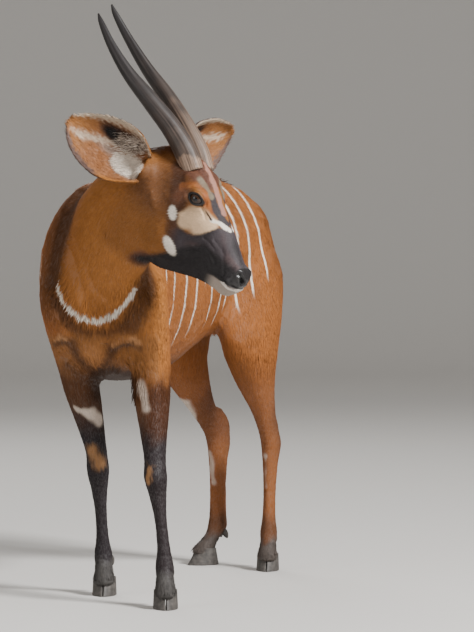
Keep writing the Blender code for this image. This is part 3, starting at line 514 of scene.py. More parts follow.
def limb_shapes():
    pelvis_heading = (-0.643, -0.766, 0.0)
    return [
        limb_shape(RIGHT_FORE, (0.10, -1.0, 0.0), (-0.05, -1.0, 0.0)),
        limb_shape(LEFT_FORE, (-0.05, -1.0, 0.0), (0.05, -1.0, 0.0)),
        limb_shape(RIGHT_HIND, pelvis_heading, (-0.866, -0.50, 0.0)),
        limb_shape(LEFT_HIND, pelvis_heading, (-0.10, -1.0, 0.0)),
        *(heel_shape(heel, limb) for heel, limb in zip(HEELS, (RIGHT_HIND, LEFT_HIND))),
    ]


def face_shapes():
    """Brows, cheeks, lips, chin and nose pad, alike on both sides of the head."""
    shapes = [
        head_ball(0.190, -0.152, 0.0, (0.036, 0.019, 0.025), tilt=-5),
        head_ball(0.226, -0.100, 0.0, (0.018, 0.024, 0.026), tilt=-40),
        head_ball(-0.125, 0.030, 0.0, (0.060, 0.040, 0.052)),
    ]
    for side in SIDES.values():
        shapes += [
            head_ball(0.012, 0.010, side * 0.051, (0.036, 0.030, 0.0265)),
            head_ball(-0.030, 0.028, side * 0.042, (0.045, 0.035, 0.028)),
            head_ball(-0.020, -0.125, side * 0.048, (0.085, 0.070, 0.030), tilt=-20),
            head_ball(0.095, -0.065, side * 0.032, (0.070, 0.034, 0.020), tilt=-28),
            head_ball(0.200, -0.112, side * 0.020, (0.042, 0.028, 0.023), tilt=-28),
            head_ball(0.216, -0.090, side * 0.020, (0.026, 0.022, 0.018), tilt=-30),
        ]
    return shapes


def shape_of(mesh):
    shape = bmesh.new()
    shape.from_mesh(mesh)
    return shape


def put_back(shape, mesh):
    """Write a shape into a mesh and free it."""
    shape.to_mesh(mesh)
    shape.free()


def make_object(name, shape):
    """An object in the scene from a shape, which is freed."""
    mesh = bpy.data.meshes.new(name)
    put_back(shape, mesh)
    thing = bpy.data.objects.new(name, mesh)
    bpy.context.scene.collection.objects.link(thing)
    return thing


def join_shapes(name, shapes):
    """One object that holds the faces of all the given shapes."""
    whole = bmesh.new()
    for shape in shapes:
        passing = bpy.data.meshes.new(name)
        put_back(shape, passing)
        whole.from_mesh(passing)
        bpy.data.meshes.remove(passing)
    return make_object(name, whole)


def apply_modifiers(thing):
    """Replace the object's mesh by what its modifiers make of it."""
    shown = bpy.context.evaluated_depsgraph_get()
    mesh = bpy.data.meshes.new_from_object(thing.evaluated_get(shown))
    thing.modifiers.clear()
    former = thing.data
    thing.data = mesh
    bpy.data.meshes.remove(former)


def remesh(thing, size):
    """Merge an object's overlapping parts into one closed surface of even faces."""
    voxels = thing.modifiers.new("skin", "REMESH")
    voxels.mode = "VOXEL"
    voxels.voxel_size = size
    apply_modifiers(thing)


def read_field(items, field, width=3, kind=float):
    """One field of many mesh items as an array with a row for each."""
    values = np.empty(len(items) * width, dtype=kind)
    items.foreach_get(field, values)
    return values.reshape(-1, width)


def get_places(mesh):
    return read_field(mesh.vertices, "co")


def get_normals(mesh):
    return read_field(mesh.vertex_normals, "vector")


def face_centres(mesh):
    return read_field(mesh.polygons, "center")


def corner_vertices(mesh):
    return read_field(mesh.loops, "vertex_index", 1, int).ravel()


def edge_ends(mesh):
    return read_field(mesh.edges, "vertices", 2, int)


def set_places(mesh, places):
    mesh.vertices.foreach_set("co", np.ascontiguousarray(places, dtype=float).ravel())
    mesh.update()


def give_attribute(mesh, name, kind, values):
    """A value for each vertex, stored under a name."""
    field = {"FLOAT": "value", "FLOAT_VECTOR": "vector", "FLOAT_COLOR": "color"}[kind]
    drop_attributes(mesh, name)
    attribute = mesh.attributes.new(name, kind, "POINT")
    attribute.data.foreach_set(field, np.ascontiguousarray(values, dtype=float).ravel())


def drop_attributes(mesh, *names):
    for name in names:
        if name in mesh.attributes:
            mesh.attributes.remove(mesh.attributes[name])


def give_colours(mesh, colours):
    """The colour of skin or hair at each vertex."""
    give_attribute(mesh, "coat", "FLOAT_COLOR", np.insert(np.clip(colours, 0, 1), 3, 1.0, axis=1))


def dots(first, second):
    """The dot product of each row with the same row of the other, as a column."""
    return np.einsum("ij,ij->i", first, second)[:, None]


def unit(ways, tiny=1e-9):
    """Each row drawn out to a length of 1."""
    return ways / (np.linalg.norm(ways, axis=1)[:, None] + tiny)


def lay_flat(ways, normals):
    """Each way turned into its surface, with a length of 1."""
    return unit(ways - normals * dots(ways, normals))


class Neighbours:
    """Which vertices of a mesh are joined by an edge."""

    def __init__(self, mesh):
        ends = edge_ends(mesh)
        self.count = len(mesh.vertices)
        self.start = np.concatenate([ends[:, 0], ends[:, 1]])
        self.end = np.concatenate([ends[:, 1], ends[:, 0]])
        self.degree = np.maximum(np.bincount(self.start, minlength=self.count), 1)[:, None]

    def mean(self, values):
        return np.stack([
            np.bincount(self.start, values[self.end, axis], minlength=self.count)
            for axis in range(values.shape[1])
        ], axis=1) / self.degree


def fill_creases(mesh, rounds, follow):
    """Lift what lies below its neighbours, so that limbs flow into the trunk; the rest softens by follow."""
    places = get_places(mesh)
    near = Neighbours(mesh)
    fours = corner_vertices(mesh).reshape(-1, 4)
    for turn in range(rounds):
        across = places[fours[:, 2]] - places[fours[:, 0]]
        along = places[fours[:, 3]] - places[fours[:, 1]]
        face_normals = np.cross(across, along)
        normals = unit(np.stack([
            np.bincount(fours.ravel(), np.repeat(face_normals[:, axis], 4), minlength=near.count)
            for axis in range(3)
        ], axis=1), 1e-12)
        away = near.mean(places) - places
        places += away * np.where(dots(away, normals) > 0, 0.9, follow)
    set_places(mesh, places)


def round_off(mesh, share, rounds):
    """Soften the vertices by their share without shrinking the form."""
    places = get_places(mesh)
    near = Neighbours(mesh)
    for turn in range(rounds):
        for rate in (0.50, -0.53):
            places += (near.mean(places) - places) * (rate * share[:, None])
    set_places(mesh, places)


def soft(value, low, high):
    """0 below low, 1 above high, and a smooth rise between them; also falling where high < low."""
    t = np.clip((value - low) / (high - low), 0.0, 1.0)
    return t * t * (3 - 2 * t)


def waves(places, size, seed):
    """A smooth random field of about -1 to 1 whose swells are of the given size."""
    draw = np.random.default_rng(seed)
    total = np.zeros(len(places))
    for turn in range(7):
        way = draw.normal(size=3)
        way *= math.tau / size * draw.uniform(0.6, 1.5) / np.linalg.norm(way)
        total += np.sin(places @ way + draw.uniform(0, math.tau))
    return total / 3.2


def to_segment(places, start, end):
    """Distance of each place from a segment, and how far along it the nearest point lies."""
    start = np.asarray(start, dtype=float)
    along = np.asarray(end, dtype=float) - start
    share = np.clip((places - start) @ along / (along @ along), 0.0, 1.0)
    return np.linalg.norm(places - start - share[:, None] * along, axis=1), share


def to_line(places, points):
    """Distance of each place from a line through points."""
    return np.min([to_segment(places, *pair)[0] for pair in zip(points, points[1:])], axis=0)


class Body:
    """Where many places lie on the body: along the trunk, beside it, and in the head's frame."""

    def __init__(self, places):
        self.places = places
        self.x, self.y, self.z = places.T
        self.forward, self.up, self.right = HeadFrame.read(places)
        rows = np.array(smooth_rows(TRUNK, 5))
        course = rows[:, :2]
        steps = np.diff(course, axis=0)
        lengths = np.linalg.norm(steps, axis=1)
        starts = np.concatenate([[0.0], np.cumsum(lengths)])
        best = np.full(len(places), np.inf)
        self.station = np.zeros(len(places))
        self.beside = np.zeros(len(places))
        for index, step in enumerate(steps):
            away = places[:, :2] - course[index]
            share = away @ step / lengths[index] ** 2
            low = -np.inf if index == 0 else 0.0
            high = np.inf if index == len(steps) - 1 else 1.0
            share = np.clip(share, low, high)
            apart = np.linalg.norm(away - share[:, None] * step, axis=1)
            closer = apart < best
            best[closer] = apart[closer]
            self.station[closer] = (starts[index] + share * lengths[index])[closer]
            turned = (step[0] * away[:, 1] - step[1] * away[:, 0]) / lengths[index]
            self.beside[closer] = turned[closer]
        self.top = np.interp(self.station, starts, rows[:, 2])
        self.bottom = np.interp(self.station, starts, rows[:, 3])
        self.half = np.interp(self.station, starts, rows[:, 4])
        self.height = (self.z - self.bottom) / (self.top - self.bottom)


def make_flesh():
    """The whole body with the stems of the ears, as one closed surface."""
    flesh = join_shapes("flesh", [
        trunk_shape(), path_shape(NECK), head_shape(), *limb_shapes(), *face_shapes(),
        ear_root("right"), ear_root("left"),
    ])
    remesh(flesh, VOXEL)
    fill_creases(flesh.data, CREASE_ROUNDS, CREASE_SOFTNESS)
    return flesh


def face_share(places, reach=0.0):
    """1 on the face and cheeks, falling to 0 behind the ears."""
    forward, up, right = HeadFrame.read(places)
    share = soft(forward, -0.150 - reach, -0.120 - reach) * soft(up, -0.30, -0.26)
    return share * (np.abs(right) < HEAD_HALF_WIDTH)


def thin_body(thing, coat, triangles):
    """Fewer faces on the trunk and the legs; the head and the edges of markings keep them all."""
    group = thing.vertex_groups.new(name="coarse")
    places = get_places(thing.data)
    near = Neighbours(thing.data)
    tones = coat_colours(places, coat)
    change = np.abs(near.mean(tones) - tones).max(axis=1, keepdims=True)
    for turn in range(2):
        change = np.maximum(change, near.mean(change) * 1.5)
    kept = (face_share(places) > 0) | (change[:, 0] > 0.025)
    on_leg = places[:, 2] < ELBOW
    for chosen, weight in ((kept, 0.0), (on_leg & ~kept, 0.45), (~on_leg & ~kept, 1.0)):
        group.add(np.nonzero(chosen)[0].tolist(), weight, "REPLACE")
    decimate = thing.modifiers.new("thin", "DECIMATE")
    decimate.ratio = triangles / (2 * len(thing.data.polygons))
    decimate.vertex_group = group.name
    decimate.vertex_group_factor = 0.05
    apply_modifiers(thing)
    thing.vertex_groups.clear()


def halve_edges(thing, chosen):
    """Halve the chosen edges, and make triangles of the faces that get more than four corners."""
    shape = shape_of(thing.data)
    edges = [edge for edge in shape.edges if chosen[edge.index]]
    bmesh.ops.subdivide_edges(shape, edges=edges, cuts=1, use_grid_fill=True)
    bmesh.ops.triangulate(shape, faces=[face for face in shape.faces if len(face.verts) > 4])
    put_back(shape, thing.data)


def split_faces(thing, chosen):
    """Halve every edge whose two ends are chosen."""
    halve_edges(thing, chosen[edge_ends(thing.data)].all(axis=1))


def split_markings(thing, coat, shortest):
    """Halve the longer edges across which the colour changes."""
    first, second = get_places(thing.data)[edge_ends(thing.data)].transpose(1, 0, 2)
    chosen = np.linalg.norm(second - first, axis=1) > shortest
    first, second = first[chosen], second[chosen]
    tones = [coat_colours(first + (second - first) * share, coat) for share in (0, 0.25, 0.5, 0.75, 1)]
    spread = np.max(tones, axis=0) - np.min(tones, axis=0)
    chosen[chosen] = spread.max(axis=1) > 0.12
    halve_edges(thing, chosen)


def coat_depth(places, coat):
    """How thick the coat is over each place."""
    body = Body(places)
    head = soft(body.forward, -0.20, -0.06) * soft(body.up, -0.33, -0.27) * (np.abs(body.right) < 0.13)
    depth = coat.body_depth + (coat.leg_depth - coat.body_depth) * soft(body.z, 0.66, 0.50)
    return depth + (coat.head_depth - depth) * head


class EyePlace:
    """One eye's centre and its own directions: along the lids, up across them, and out."""

    long_half = 0.0190
    high_half = 0.0126
    power = 1.7

    def __init__(self, side):
        self.side = side
        forward, up, right = EYE_PLACE
        self.centre = HeadFrame.point(forward, up, right * side)
        self.out = HeadFrame.way(0.16, 0.06, side)
        slope = math.radians(4)
        ahead = HeadFrame.way(math.cos(slope), math.sin(slope))
        self.along = (ahead - self.out * ahead.dot(self.out)).normalized()
        self.above = self.out.cross(self.along) * side
        if self.above.dot(HeadFrame.up) < 0:
            self.above = -self.above

    def read(self, places):
        """Along, above and out of many places, and their reach: 1 on the edge of the lids."""
        away = places - np.array(self.centre)
        along, above, out = (away @ np.array(axis) for axis in (self.along, self.above, self.out))
        long, high = np.abs(along / self.long_half), np.abs(above / self.high_half)
        reach = (long ** self.power + high ** self.power) ** (1 / self.power)
        return along, above, out, reach

    def point(self, along, above, out):
        return self.centre + self.along * along + self.above * above + self.out * out


MOUTH = [
    (0.138, -0.1330, 0.046), (0.165, -0.1270, 0.043), (0.200, -0.1235, 0.039),
    (0.228, -0.1205, 0.030), (0.243, -0.1190, 0.014), (0.247, -0.1185, 0.0),
]

NOSTRIL = [(0.2385, -0.1010, 0.0130), (0.2345, -0.0930, 0.0205), (0.2240, -0.0850, 0.0270)]

FACE_FOLDS = [
    ([(0.034, -0.002, 0.055), (0.050, -0.010, 0.050), (0.064, -0.022, 0.047)], 0.0035, 0.0018),
    ([(0.150, -0.060, 0.040), (0.175, -0.085, 0.040), (0.192, -0.108, 0.040)], 0.0055, 0.0016),
    ([(0.128, -0.118, 0.050), (0.122, -0.134, 0.050), (0.132, -0.150, 0.044)], 0.0060, 0.0022),
    ([
        (0.080, -0.096, 0.053), (0.105, -0.084, 0.050), (0.128, -0.086, 0.047), (0.152, -0.100, 0.041),
    ], 0.0045, 0.0022),
    ([(0.118, -0.052, 0.044), (0.138, -0.055, 0.042), (0.160, -0.066, 0.036)], 0.0045, 0.0016),
    ([(0.092, -0.064, 0.050), (0.110, -0.064, 0.047), (0.134, -0.072, 0.044)], 0.0040, 0.0016),
    ([(0.112, -0.100, 0.050), (0.130, -0.102, 0.046), (0.148, -0.116, 0.042)], 0.0040, 0.0018),
    ([(-0.028, 0.030, 0.060), (-0.008, 0.040, 0.058), (0.016, 0.036, 0.052)], 0.0060, 0.0012),
    ([(0.222, -0.098, 0.0), (0.247, -0.105, 0.0), (0.249, -0.122, 0.0)], 0.0016, 0.0016),
]


def swell(apart, middle, width):
    """A rounded ridge: 1 at the middle distance, and near 0 beyond its width on both sides."""
    return np.exp(-((apart - middle) / width) ** 2)


def shape_lids(places, eye):
    """Lay the skin round the eye over the eyeball, with a fold above the upper lid."""
    along, above, out, reach = eye.read(places)
    apart = np.linalg.norm(places - np.array(eye.centre), axis=1)
    near = (out > 0) & (apart < 0.060)
    lid = EYE_RADIUS + 0.0016 + 0.0024 * soft(reach, 1.0, 1.45)
    fold = swell(reach, 1.62, 0.13) * soft(above, -0.002, 0.006) * 0.0016
    pouch = swell(reach, 1.70, 0.16) * soft(above, 0.002, -0.006) * 0.0009
    share = soft(reach, 2.1, 1.35) * near
    target = apart + (lid - apart) * share - (fold + pouch) * near
    ways = (places - np.array(eye.centre)) / apart[:, None]
    return places + ways * (target - apart)[:, None]


def shape_face(places, normals):
    """Press in the nostrils and the line of the mouth, and raise the lips and folds round them."""
    forward, up, right = HeadFrame.read(places)
    wide = np.abs(right)
    local = np.stack([forward, up, wide], axis=1)
    push = np.zeros(len(places))
    front = soft(forward, 0.10, 0.14)
    apart = to_line(local, NOSTRIL)
    push -= 0.0120 * swell(apart, 0, 0.0052)
    push += 0.0018 * swell(apart, 0.0105, 0.0036)
    apart = to_line(local, MOUTH)
    push -= 0.0046 * swell(apart, 0, 0.0026) * front
    push += 0.0014 * swell(apart, 0.0075, 0.0045) * front
    for line, width, depth in FACE_FOLDS:
        push -= depth * swell(to_line(local, line), 0, width)
    return places + normals * push[:, None]


def open_lids(thing):
    """Cut each eye's opening, lay its edge on the eyeball and turn it in behind the lid."""
    shape = shape_of(thing.data)
    for side in SIDES.values():
        eye = EyePlace(side)
        shape.verts.ensure_lookup_table()
        places = np.array([vert.co[:] for vert in shape.verts])
        along, above, out, reach = eye.read(places)
        inside = (reach < 1.0) & (out > 0.004) & (out < 0.045)
        gone = [face for face in shape.faces if all(inside[vert.index] for vert in face.verts)]
        bmesh.ops.delete(shape, geom=gone, context="FACES")
        near = {vert for vert in shape.verts if vert.is_boundary}
        rim = [vert for vert in near if (vert.co - eye.centre).length < 0.05]
        for vert in rim:
            away = vert.co - eye.centre
            scale = 1.0 / float(eye.read(np.array([vert.co[:]]))[3][0])
            x, y = away.dot(eye.along) * scale, away.dot(eye.above) * scale
            vert.co = eye.point(x, y, math.sqrt(max((EYE_RADIUS + 0.0010) ** 2 - x * x - y * y, 1e-8)))
        edges = [edge for edge in shape.edges if edge.is_boundary and edge.verts[0] in rim]
        made = bmesh.ops.extrude_edge_only(shape, edges=edges)["geom"]
        inner = [piece for piece in made if isinstance(piece, bmesh.types.BMVert)]
        for vert in inner:
            vert.co = eye.centre + (vert.co - eye.centre).normalized() * (EYE_RADIUS - 0.0030)
        loop = [edge for edge in shape.edges if edge.is_boundary and edge.verts[0] in inner]
        bmesh.ops.edgeloop_fill(shape, edges=loop)
    bmesh.ops.triangulate(shape, faces=[face for face in shape.faces if len(face.verts) > 4])
    put_back(shape, thing.data)


NECK_SHADE = [
    (-0.440, 0.070, 1.140), (-0.468, 0.020, 1.060), (-0.490, -0.005, 0.980), (-0.505, -0.020, 0.900),
]

BODY_FOLDS = [
    ([(-0.500, 0.005, 0.714), (-0.484, -0.005, 0.724), (-0.466, -0.015, 0.718)], 0.010, 0.0060),
    ([(-0.334, -0.052, 0.704), (-0.300, -0.048, 0.718), (-0.268, -0.040, 0.712)], 0.010, 0.0060),
    (NECK_SHADE, 0.022, 0.0080),
]


def press_folds(mesh, places):
    """Press the folds of breast and neck into the skin, with a low swell on both sides of each."""
    normals = get_normals(mesh)
    for line, width, depth in BODY_FOLDS:
        apart = to_line(places, line) / width
        push = 0.45 * swell(apart, 2.1, 1) - swell(apart, 0, 1)
        places = places + normals * (depth * push)[:, None]
    set_places(mesh, places)


def make_skin(coat):
    """One closed skin that lies inside the solids by the depth of the coat."""
    skin = make_flesh()
    thin_body(skin, coat, SKIN_TRIANGLES)
    mesh = skin.data
    for reach in (0.050, 0.035):
        places = get_places(mesh)
        split_faces(skin, np.any([to_line(places, fold[0]) < reach for fold in BODY_FOLDS], axis=0))
    split_faces(skin, face_share(get_places(mesh), -0.05) > 0.5)
    round_off(mesh, face_share(get_places(mesh), -0.02), 6)
    places = get_places(mesh)
    set_places(mesh, places - get_normals(mesh) * coat_depth(places, coat)[:, None])
    places = get_places(mesh)
    forward, up, right = HeadFrame.read(places)
    fine = (forward > 0.185) & (np.abs(right) < 0.06)
    for side in SIDES.values():
        along, above, out, reach = EyePlace(side).read(places)
        fine |= (reach < 2.3) & (out > 0) & (out < 0.06)
    split_faces(skin, fine)
    places = get_places(mesh)
    for side in SIDES.values():
        places = shape_lids(places, EyePlace(side))
    set_places(mesh, places)
    places = shape_face(places, get_normals(mesh))
    set_places(mesh, places)
    press_folds(mesh, places)
    open_lids(skin)
    split_markings(skin, coat, SHORTEST_EDGE)
    round_off(mesh, 1 - face_share(get_places(mesh), 0.02), 4)
    skin.name = "skin"
    mesh.name = "skin"
    return skin


def read_tones(coat):
    """The coat's colours as arrays."""
    return Tones(*(np.array(getattr(coat, name)) for name in Tones._fields))


class Paint:
    """Colours laid over one another on many places, each through a soft mask."""

    def __init__(self, count, base):
        self.colours = np.tile(base, (count, 1))

    def lay(self, tone, mask):
        self.colours += (tone - self.colours) * np.clip(mask, 0, 1)[:, None]


def patch(first, second, centre, radii, tilt=0.0, edge=0.25):
    """An oval mask: 1 inside, 0 outside, with a soft edge."""
    angle = math.radians(tilt)
    a, b = first - centre[0], second - centre[1]
    along = a * math.cos(angle) + b * math.sin(angle)
    above = -a * math.sin(angle) + b * math.cos(angle)
    reach = np.hypot(along / radii[0], above / radii[1])
    return soft(reach, 1 + edge, 1 - edge)


CHEST_RIDGES = [
    [(-0.504, 0.726), (-0.487, 0.738), (-0.468, 0.732)],
    [(-0.336, 0.716), (-0.310, 0.729), (-0.285, 0.733), (-0.264, 0.722)],
]

CHEST_VALLEYS = [
    [(-0.452, 0.722), (-0.436, 0.680), (-0.410, 0.650), (-0.385, 0.632)],
    [(-0.343, 0.712), (-0.350, 0.676), (-0.372, 0.645)],
    [(-0.470, 0.652), (-0.430, 0.620), (-0.389, 0.606)],
]

CHEST_NOTCH = [(-0.388, 0.622), (-0.340, 0.634)]
SHOULDER_SHADE = [(-0.500, 0.060, 1.080), (-0.520, 0.050, 0.960), (-0.500, 0.020, 0.860)]

CHEST_SHADE = [
    (-0.500, -0.045, 0.830), (-0.455, -0.080, 0.758), (-0.400, -0.095, 0.735), (-0.345, -0.095, 0.738),
    (-0.292, -0.090, 0.770), (-0.255, -0.085, 0.840), (-0.240, -0.080, 0.930),
]


def paint_trunk(paint, body, tones):
    """Chestnut sides with thin white stripes, a dark line down the back, a dark belly that is partly painted
    shade, painted shade on the shoulder's edge and darker haunches that are mostly painted shade.
    """
    fleck = waves(body.places, 0.020, 31)
    drift = waves(body.places, 0.16, 32)
    chestnut, brown = tones.chestnut, tones.brown
    paint.lay(chestnut * 0.70, soft(drift + 0.3 * fleck, 0.1, 1.3) * 0.6)
    paint.lay(tones.golden, soft(body.station, 0.16, -0.03) * 0.8)
    # The dark belly: partly its own dusky hair, partly painted shade underneath.
    under = soft(body.height, 0.16, 0.03) * soft(np.abs(body.beside) / body.half, 0.95, 0.70)
    paint.lay(brown, under * soft(body.station, 0.05, 0.20) * soft(body.station, 0.95, 0.80) * 0.9)
    # Painted shade along the shoulder's edge, where the neck's shadow falls.
    paint.lay(brown, soft(to_line(body.places, SHOULDER_SHADE), 0.135, 0.030) * 0.62)
    # Darker haunches at the rear: mostly painted shade where they turn away from the light, partly darker
    # hair.
    paint.lay(chestnut * 0.45, soft(body.station, 1.06, 1.20) * soft(body.height, 0.10, 0.40) * 0.6)
    spine = np.abs(body.beside + 0.004 * waves(body.places, 0.08, 33))
    on_back = soft(body.height, 0.90, 0.97) * (body.station < 1.19)
    paint.lay(brown, soft(spine, 0.036, 0.014) * on_back * soft(body.station, -0.05, 0.10))
    for side, sign in (("left", -1), ("right", 1)):
        beside = soft(body.beside * sign, 0.020, 0.032)
        for number, station in enumerate(STRIPES[side]):
            slant = 0.030 * (0.7 - body.height) * (1 if number < 5 else 0.4)
            bow = 0.006 * np.sin(body.height * 9.0 + number)
            apart = np.abs(body.station - station - slant - bow)
            start = 0.965 - 0.02 * (number % 3)
            end = 0.20 + 0.05 * (number % 2) + (0.10 if number in (0, 10) else 0.0)
            reach = soft(body.height, start + 0.02, start - 0.02)
            reach *= soft(body.height, end - 0.04, end + 0.06)
            half = 0.0044 * (1.0 - 0.35 * soft(body.height, 0.5, 0.2)) + 0.0007 * fleck
            paint.lay(tones.white, soft(apart, half + 0.0016, half - 0.0010) * reach * beside)


def paint_neck(paint, body, tones):
    """The neck's own tone, its dark nape, painted shade along its edge and below the crescent, and the white
    crescent where it meets the chest.
    """
    along = to_line(body.places, [row[:3] for row in NECK])
    ragged = waves(body.places, 0.014, 42)
    brown = tones.brown
    neck = soft(along, 0.26, 0.17) * soft(body.station, 0.10, -0.06) * soft(body.z, 0.74, 0.86)
    paint.lay(tones.golden, neck)
    mane = to_line(body.places, [(-0.20, -0.19, 1.27), (-0.30, -0.10, 1.24), (-0.37, 0.06, 1.18)])
    paint.lay(brown, soft(mane + 0.010 * waves(body.places, 0.05, 41), 0.075, 0.025) * 0.9)
    # Painted shade along the neck's edge, where its shadow falls on the shoulder.
    neck_shade_apart = to_line(body.places, NECK_SHADE) + 0.004 * ragged
    paint.lay(brown * 0.8, soft(neck_shade_apart, 0.060, 0.018) * 0.80)
    # Painted shadow on the chest just below the crescent, under the neck.
    chest = to_line(body.places, CHEST_SHADE) + 0.004 * ragged
    paint.lay(brown * 0.9, soft(chest, 0.048, 0.016) * 0.80 * (body.y < 0.08))
    paint_chest(paint, body, tones)
    apart = to_line(body.places, CRESCENT)
    paint.lay(tones.white * 0.92, soft(apart + 0.0025 * ragged, 0.0092, 0.0052))


def paint_chest(paint, body, tones):
    """The breast's golden tone, with painted highlights on its swellings and ridges and painted shade in the
    folds between and below them, laid from the front.
    """
    golden, brown = tones.golden, tones.brown
    fine, coarse = waves(body.places, 0.010, 44), waves(body.places, 0.030, 45)
    rough = 0.0020 * fine + 0.0030 * coarse
    front = soft(body.y, 0.20, 0.14) * (body.x < -0.215)
    flat = np.stack([body.x, body.z, np.zeros(len(body.x))], axis=1)

    def near(points, outer, inner):
        return soft(to_line(flat, [(x, z, 0.0) for x, z in points]) + rough, outer, inner) * front

    breast = soft(body.z, 0.600, 0.650) * soft(body.z + rough, 0.752, 0.732)
    paint.lay(golden * (0.72, 0.76, 0.95), breast * front * 0.9)
    # A painted highlight on the middle of the breast's swelling.
    middle = patch(body.x, body.z, (-0.392, 0.692), (0.030, 0.026), edge=0.7)
    paint.lay(golden * (1.05, 1.15, 1.6), middle * front * 0.8)
    # Painted shade in the folds between the swellings.
    for line in CHEST_VALLEYS:
        paint.lay(brown * 0.9, near(line, 0.028, 0.000) * 0.75)
    # Painted shade in the notch between the forelegs at the foot of the breast.
    paint.lay(brown * 0.35, near(CHEST_NOTCH, 0.036, 0.012) * 0.95)
    # Painted shade below each ridge, and a painted highlight along it.
    for line in CHEST_RIDGES:
        paint.lay(brown * 0.9, near([(x, z - 0.012) for x, z in line], 0.015, 0.001) * 0.80)
        paint.lay(golden * (1.20, 1.50, 2.6), near(line, 0.0085, 0.0025) * 0.9)


LEG_PATCHES = [
    ((-0.455, 0.166, 0.535), (-0.425, 0.154, 0.524), 0.008, 0.85),
    ((-0.425, 0.154, 0.524), (-0.400, 0.159, 0.514), 0.014, 0.90),
    ((-0.400, 0.159, 0.518), (-0.384, 0.176, 0.500), 0.020, 0.95),
    ((-0.266, -0.040, 0.612), (-0.250, -0.056, 0.545), 0.016, 0.62),
    ((-0.156, 0.998, 0.512), (-0.144, 1.028, 0.470), 0.020, 0.90),
    ((-0.144, 1.028, 0.470), (-0.132, 1.060, 0.430), 0.013, 0.90),
    ((0.008, 0.858, 0.512), (0.030, 0.885, 0.455), 0.019, 0.90),
    ((-0.084, 1.100, 0.345), (-0.074, 1.103, 0.255), 0.009, 0.60),
    ((0.085, 0.905, 0.345), (0.080, 0.912, 0.255), 0.009, 0.60),
]

HOCK_SHADES = [
    ((-0.110, 1.040, 0.520), (-0.072, 1.120, 0.430)), ((0.050, 0.880, 0.520), (0.088, 0.955, 0.430)),
]

KNEE_PATCHES = [
    ((-0.408, 0.186, 0.412), (-0.382, 0.186, 0.376), 0.021),
    ((-0.240, -0.085, 0.385), (-0.240, -0.085, 0.350), 0.013),
]


def paint_legs(paint, body, tones):
    """Forelegs black below, hind legs chestnut, pale marks on their inner sides, grey pasterns; painted
    shade between the forelegs, on her left foreleg's outer side, behind the hind legs and at the hocks.
    """
    ragged = 0.010 * waves(body.places, 0.045, 51)
    height = body.z + ragged
    fore = (body.y < 0.55) * 1.0
    hind = 1 - fore
    chestnut, golden, brown, soot = tones[:4]
    paint.lay(brown * 1.1, fore * soft(height, 0.69, 0.55) * 0.80)
    paint.lay(soot * (0.85, 0.90, 1.05), fore * soft(height, 0.57, 0.44) * 0.94)
    # Painted shade between the forelegs, under the chest.
    between = soft(np.abs(body.x + 0.340), 0.085, 0.050) * soft(body.y, 0.60, 0.45)
    paint.lay(brown * 0.4, between * soft(body.z, 0.650, 0.622) * soft(body.z, 0.52, 0.58) * 0.9)
    paint.lay(chestnut * (0.80, 0.85, 1.2), hind * soft(height, 0.66, 0.54) * 0.6)
    for rows in (RIGHT_HIND, LEFT_HIND):
        back = [(row.x, row.y + 0.6 * row.along, row.z) for row in rows[4:10]]
        shade = to_line(body.places, back) / 0.060
        reach = soft(height, 0.28, 0.40) * soft(height, 0.64, 0.52)
        paint.lay(brown, hind * soft(shade, 1.20, 0.35) * reach * 0.8)
    for start, end in HOCK_SHADES:
        apart = to_segment(body.places, start, end)[0] + 0.5 * ragged
        paint.lay(brown * (1.3, 1.1, 1.0), soft(apart, 0.085, 0.020) * 0.70)
    # Painted shade on the outer side of her left foreleg, which faces the key lamp.
    outer = fore * soft(body.x, -0.262, -0.232) * soft(height, 0.66, 0.58)
    paint.lay(brown * (0.62, 0.50, 0.45), outer * soft(height, 0.42, 0.50) * 0.90)
    paint.lay(brown * 1.2, hind * soft(height, 0.19, 0.13) * 0.8)
    paint.lay(tones.white * (0.090, 0.093, 0.100), soft(height, 0.115, 0.075) * 0.85)
    for start, end, width, strength in LEG_PATCHES:
        apart = to_segment(body.places, start, end)[0] + 0.35 * ragged
        mark = soft(apart, width * 1.25, width * 0.45) * strength
        paint.lay(tones.white * (0.80, 0.74, 0.72), mark)
    fine = waves(body.places, 0.012, 52)
    for start, end, width in KNEE_PATCHES:
        apart = to_segment(body.places, start, end)[0] + 0.5 * ragged + 0.004 * fine
        paint.lay(golden * (1.05, 1.35, 2.2), soft(apart, width * 1.5, 0.0) * 0.80)


FOLD_GRAIN = np.array([[0.35, 0.0, 0.0], [0.0, 0.35, 0.0], [0.0, 0.0, 0.12]])

MUZZLE_LINE = [
    (-0.005, -0.104), (0.018, -0.083), (0.042, -0.081), (0.064, -0.073), (0.081, -0.058), (0.094, -0.038),
    (0.103, -0.020), (0.121, -0.006),
]

JAW_LINE = [
    (-0.060, -0.236), (-0.030, -0.212), (0.000, -0.186), (0.030, -0.158), (0.060, -0.120), (0.100, -0.080),
]

TEMPLE_BAND = [
    (-0.080, 0.046, 0.055), (-0.044, 0.008, 0.066), (-0.018, -0.034, 0.070), (0.000, -0.068, 0.069),
    (0.020, -0.100, 0.066), (0.040, -0.128, 0.062),
]

PLUM = [(-0.064, 0.070, 0.035), (-0.026, 0.056, 0.046), (0.004, 0.052, 0.034)]
BROW = [(-0.034, 0.012, 0.064), (-0.010, 0.036, 0.056), (0.030, 0.026, 0.046), (0.052, 0.004, 0.044)]
BROW_EDGE = [(-0.024, 0.014, 0.062), (-0.006, 0.030, 0.060), (0.022, 0.025, 0.052)]

TAN_PATCH = [
    ((0.030, -0.044), (0.025, 0.036), -15), ((0.060, -0.040), (0.041, 0.032), -40),
    ((0.085, -0.026), (0.024, 0.017), -35),
]

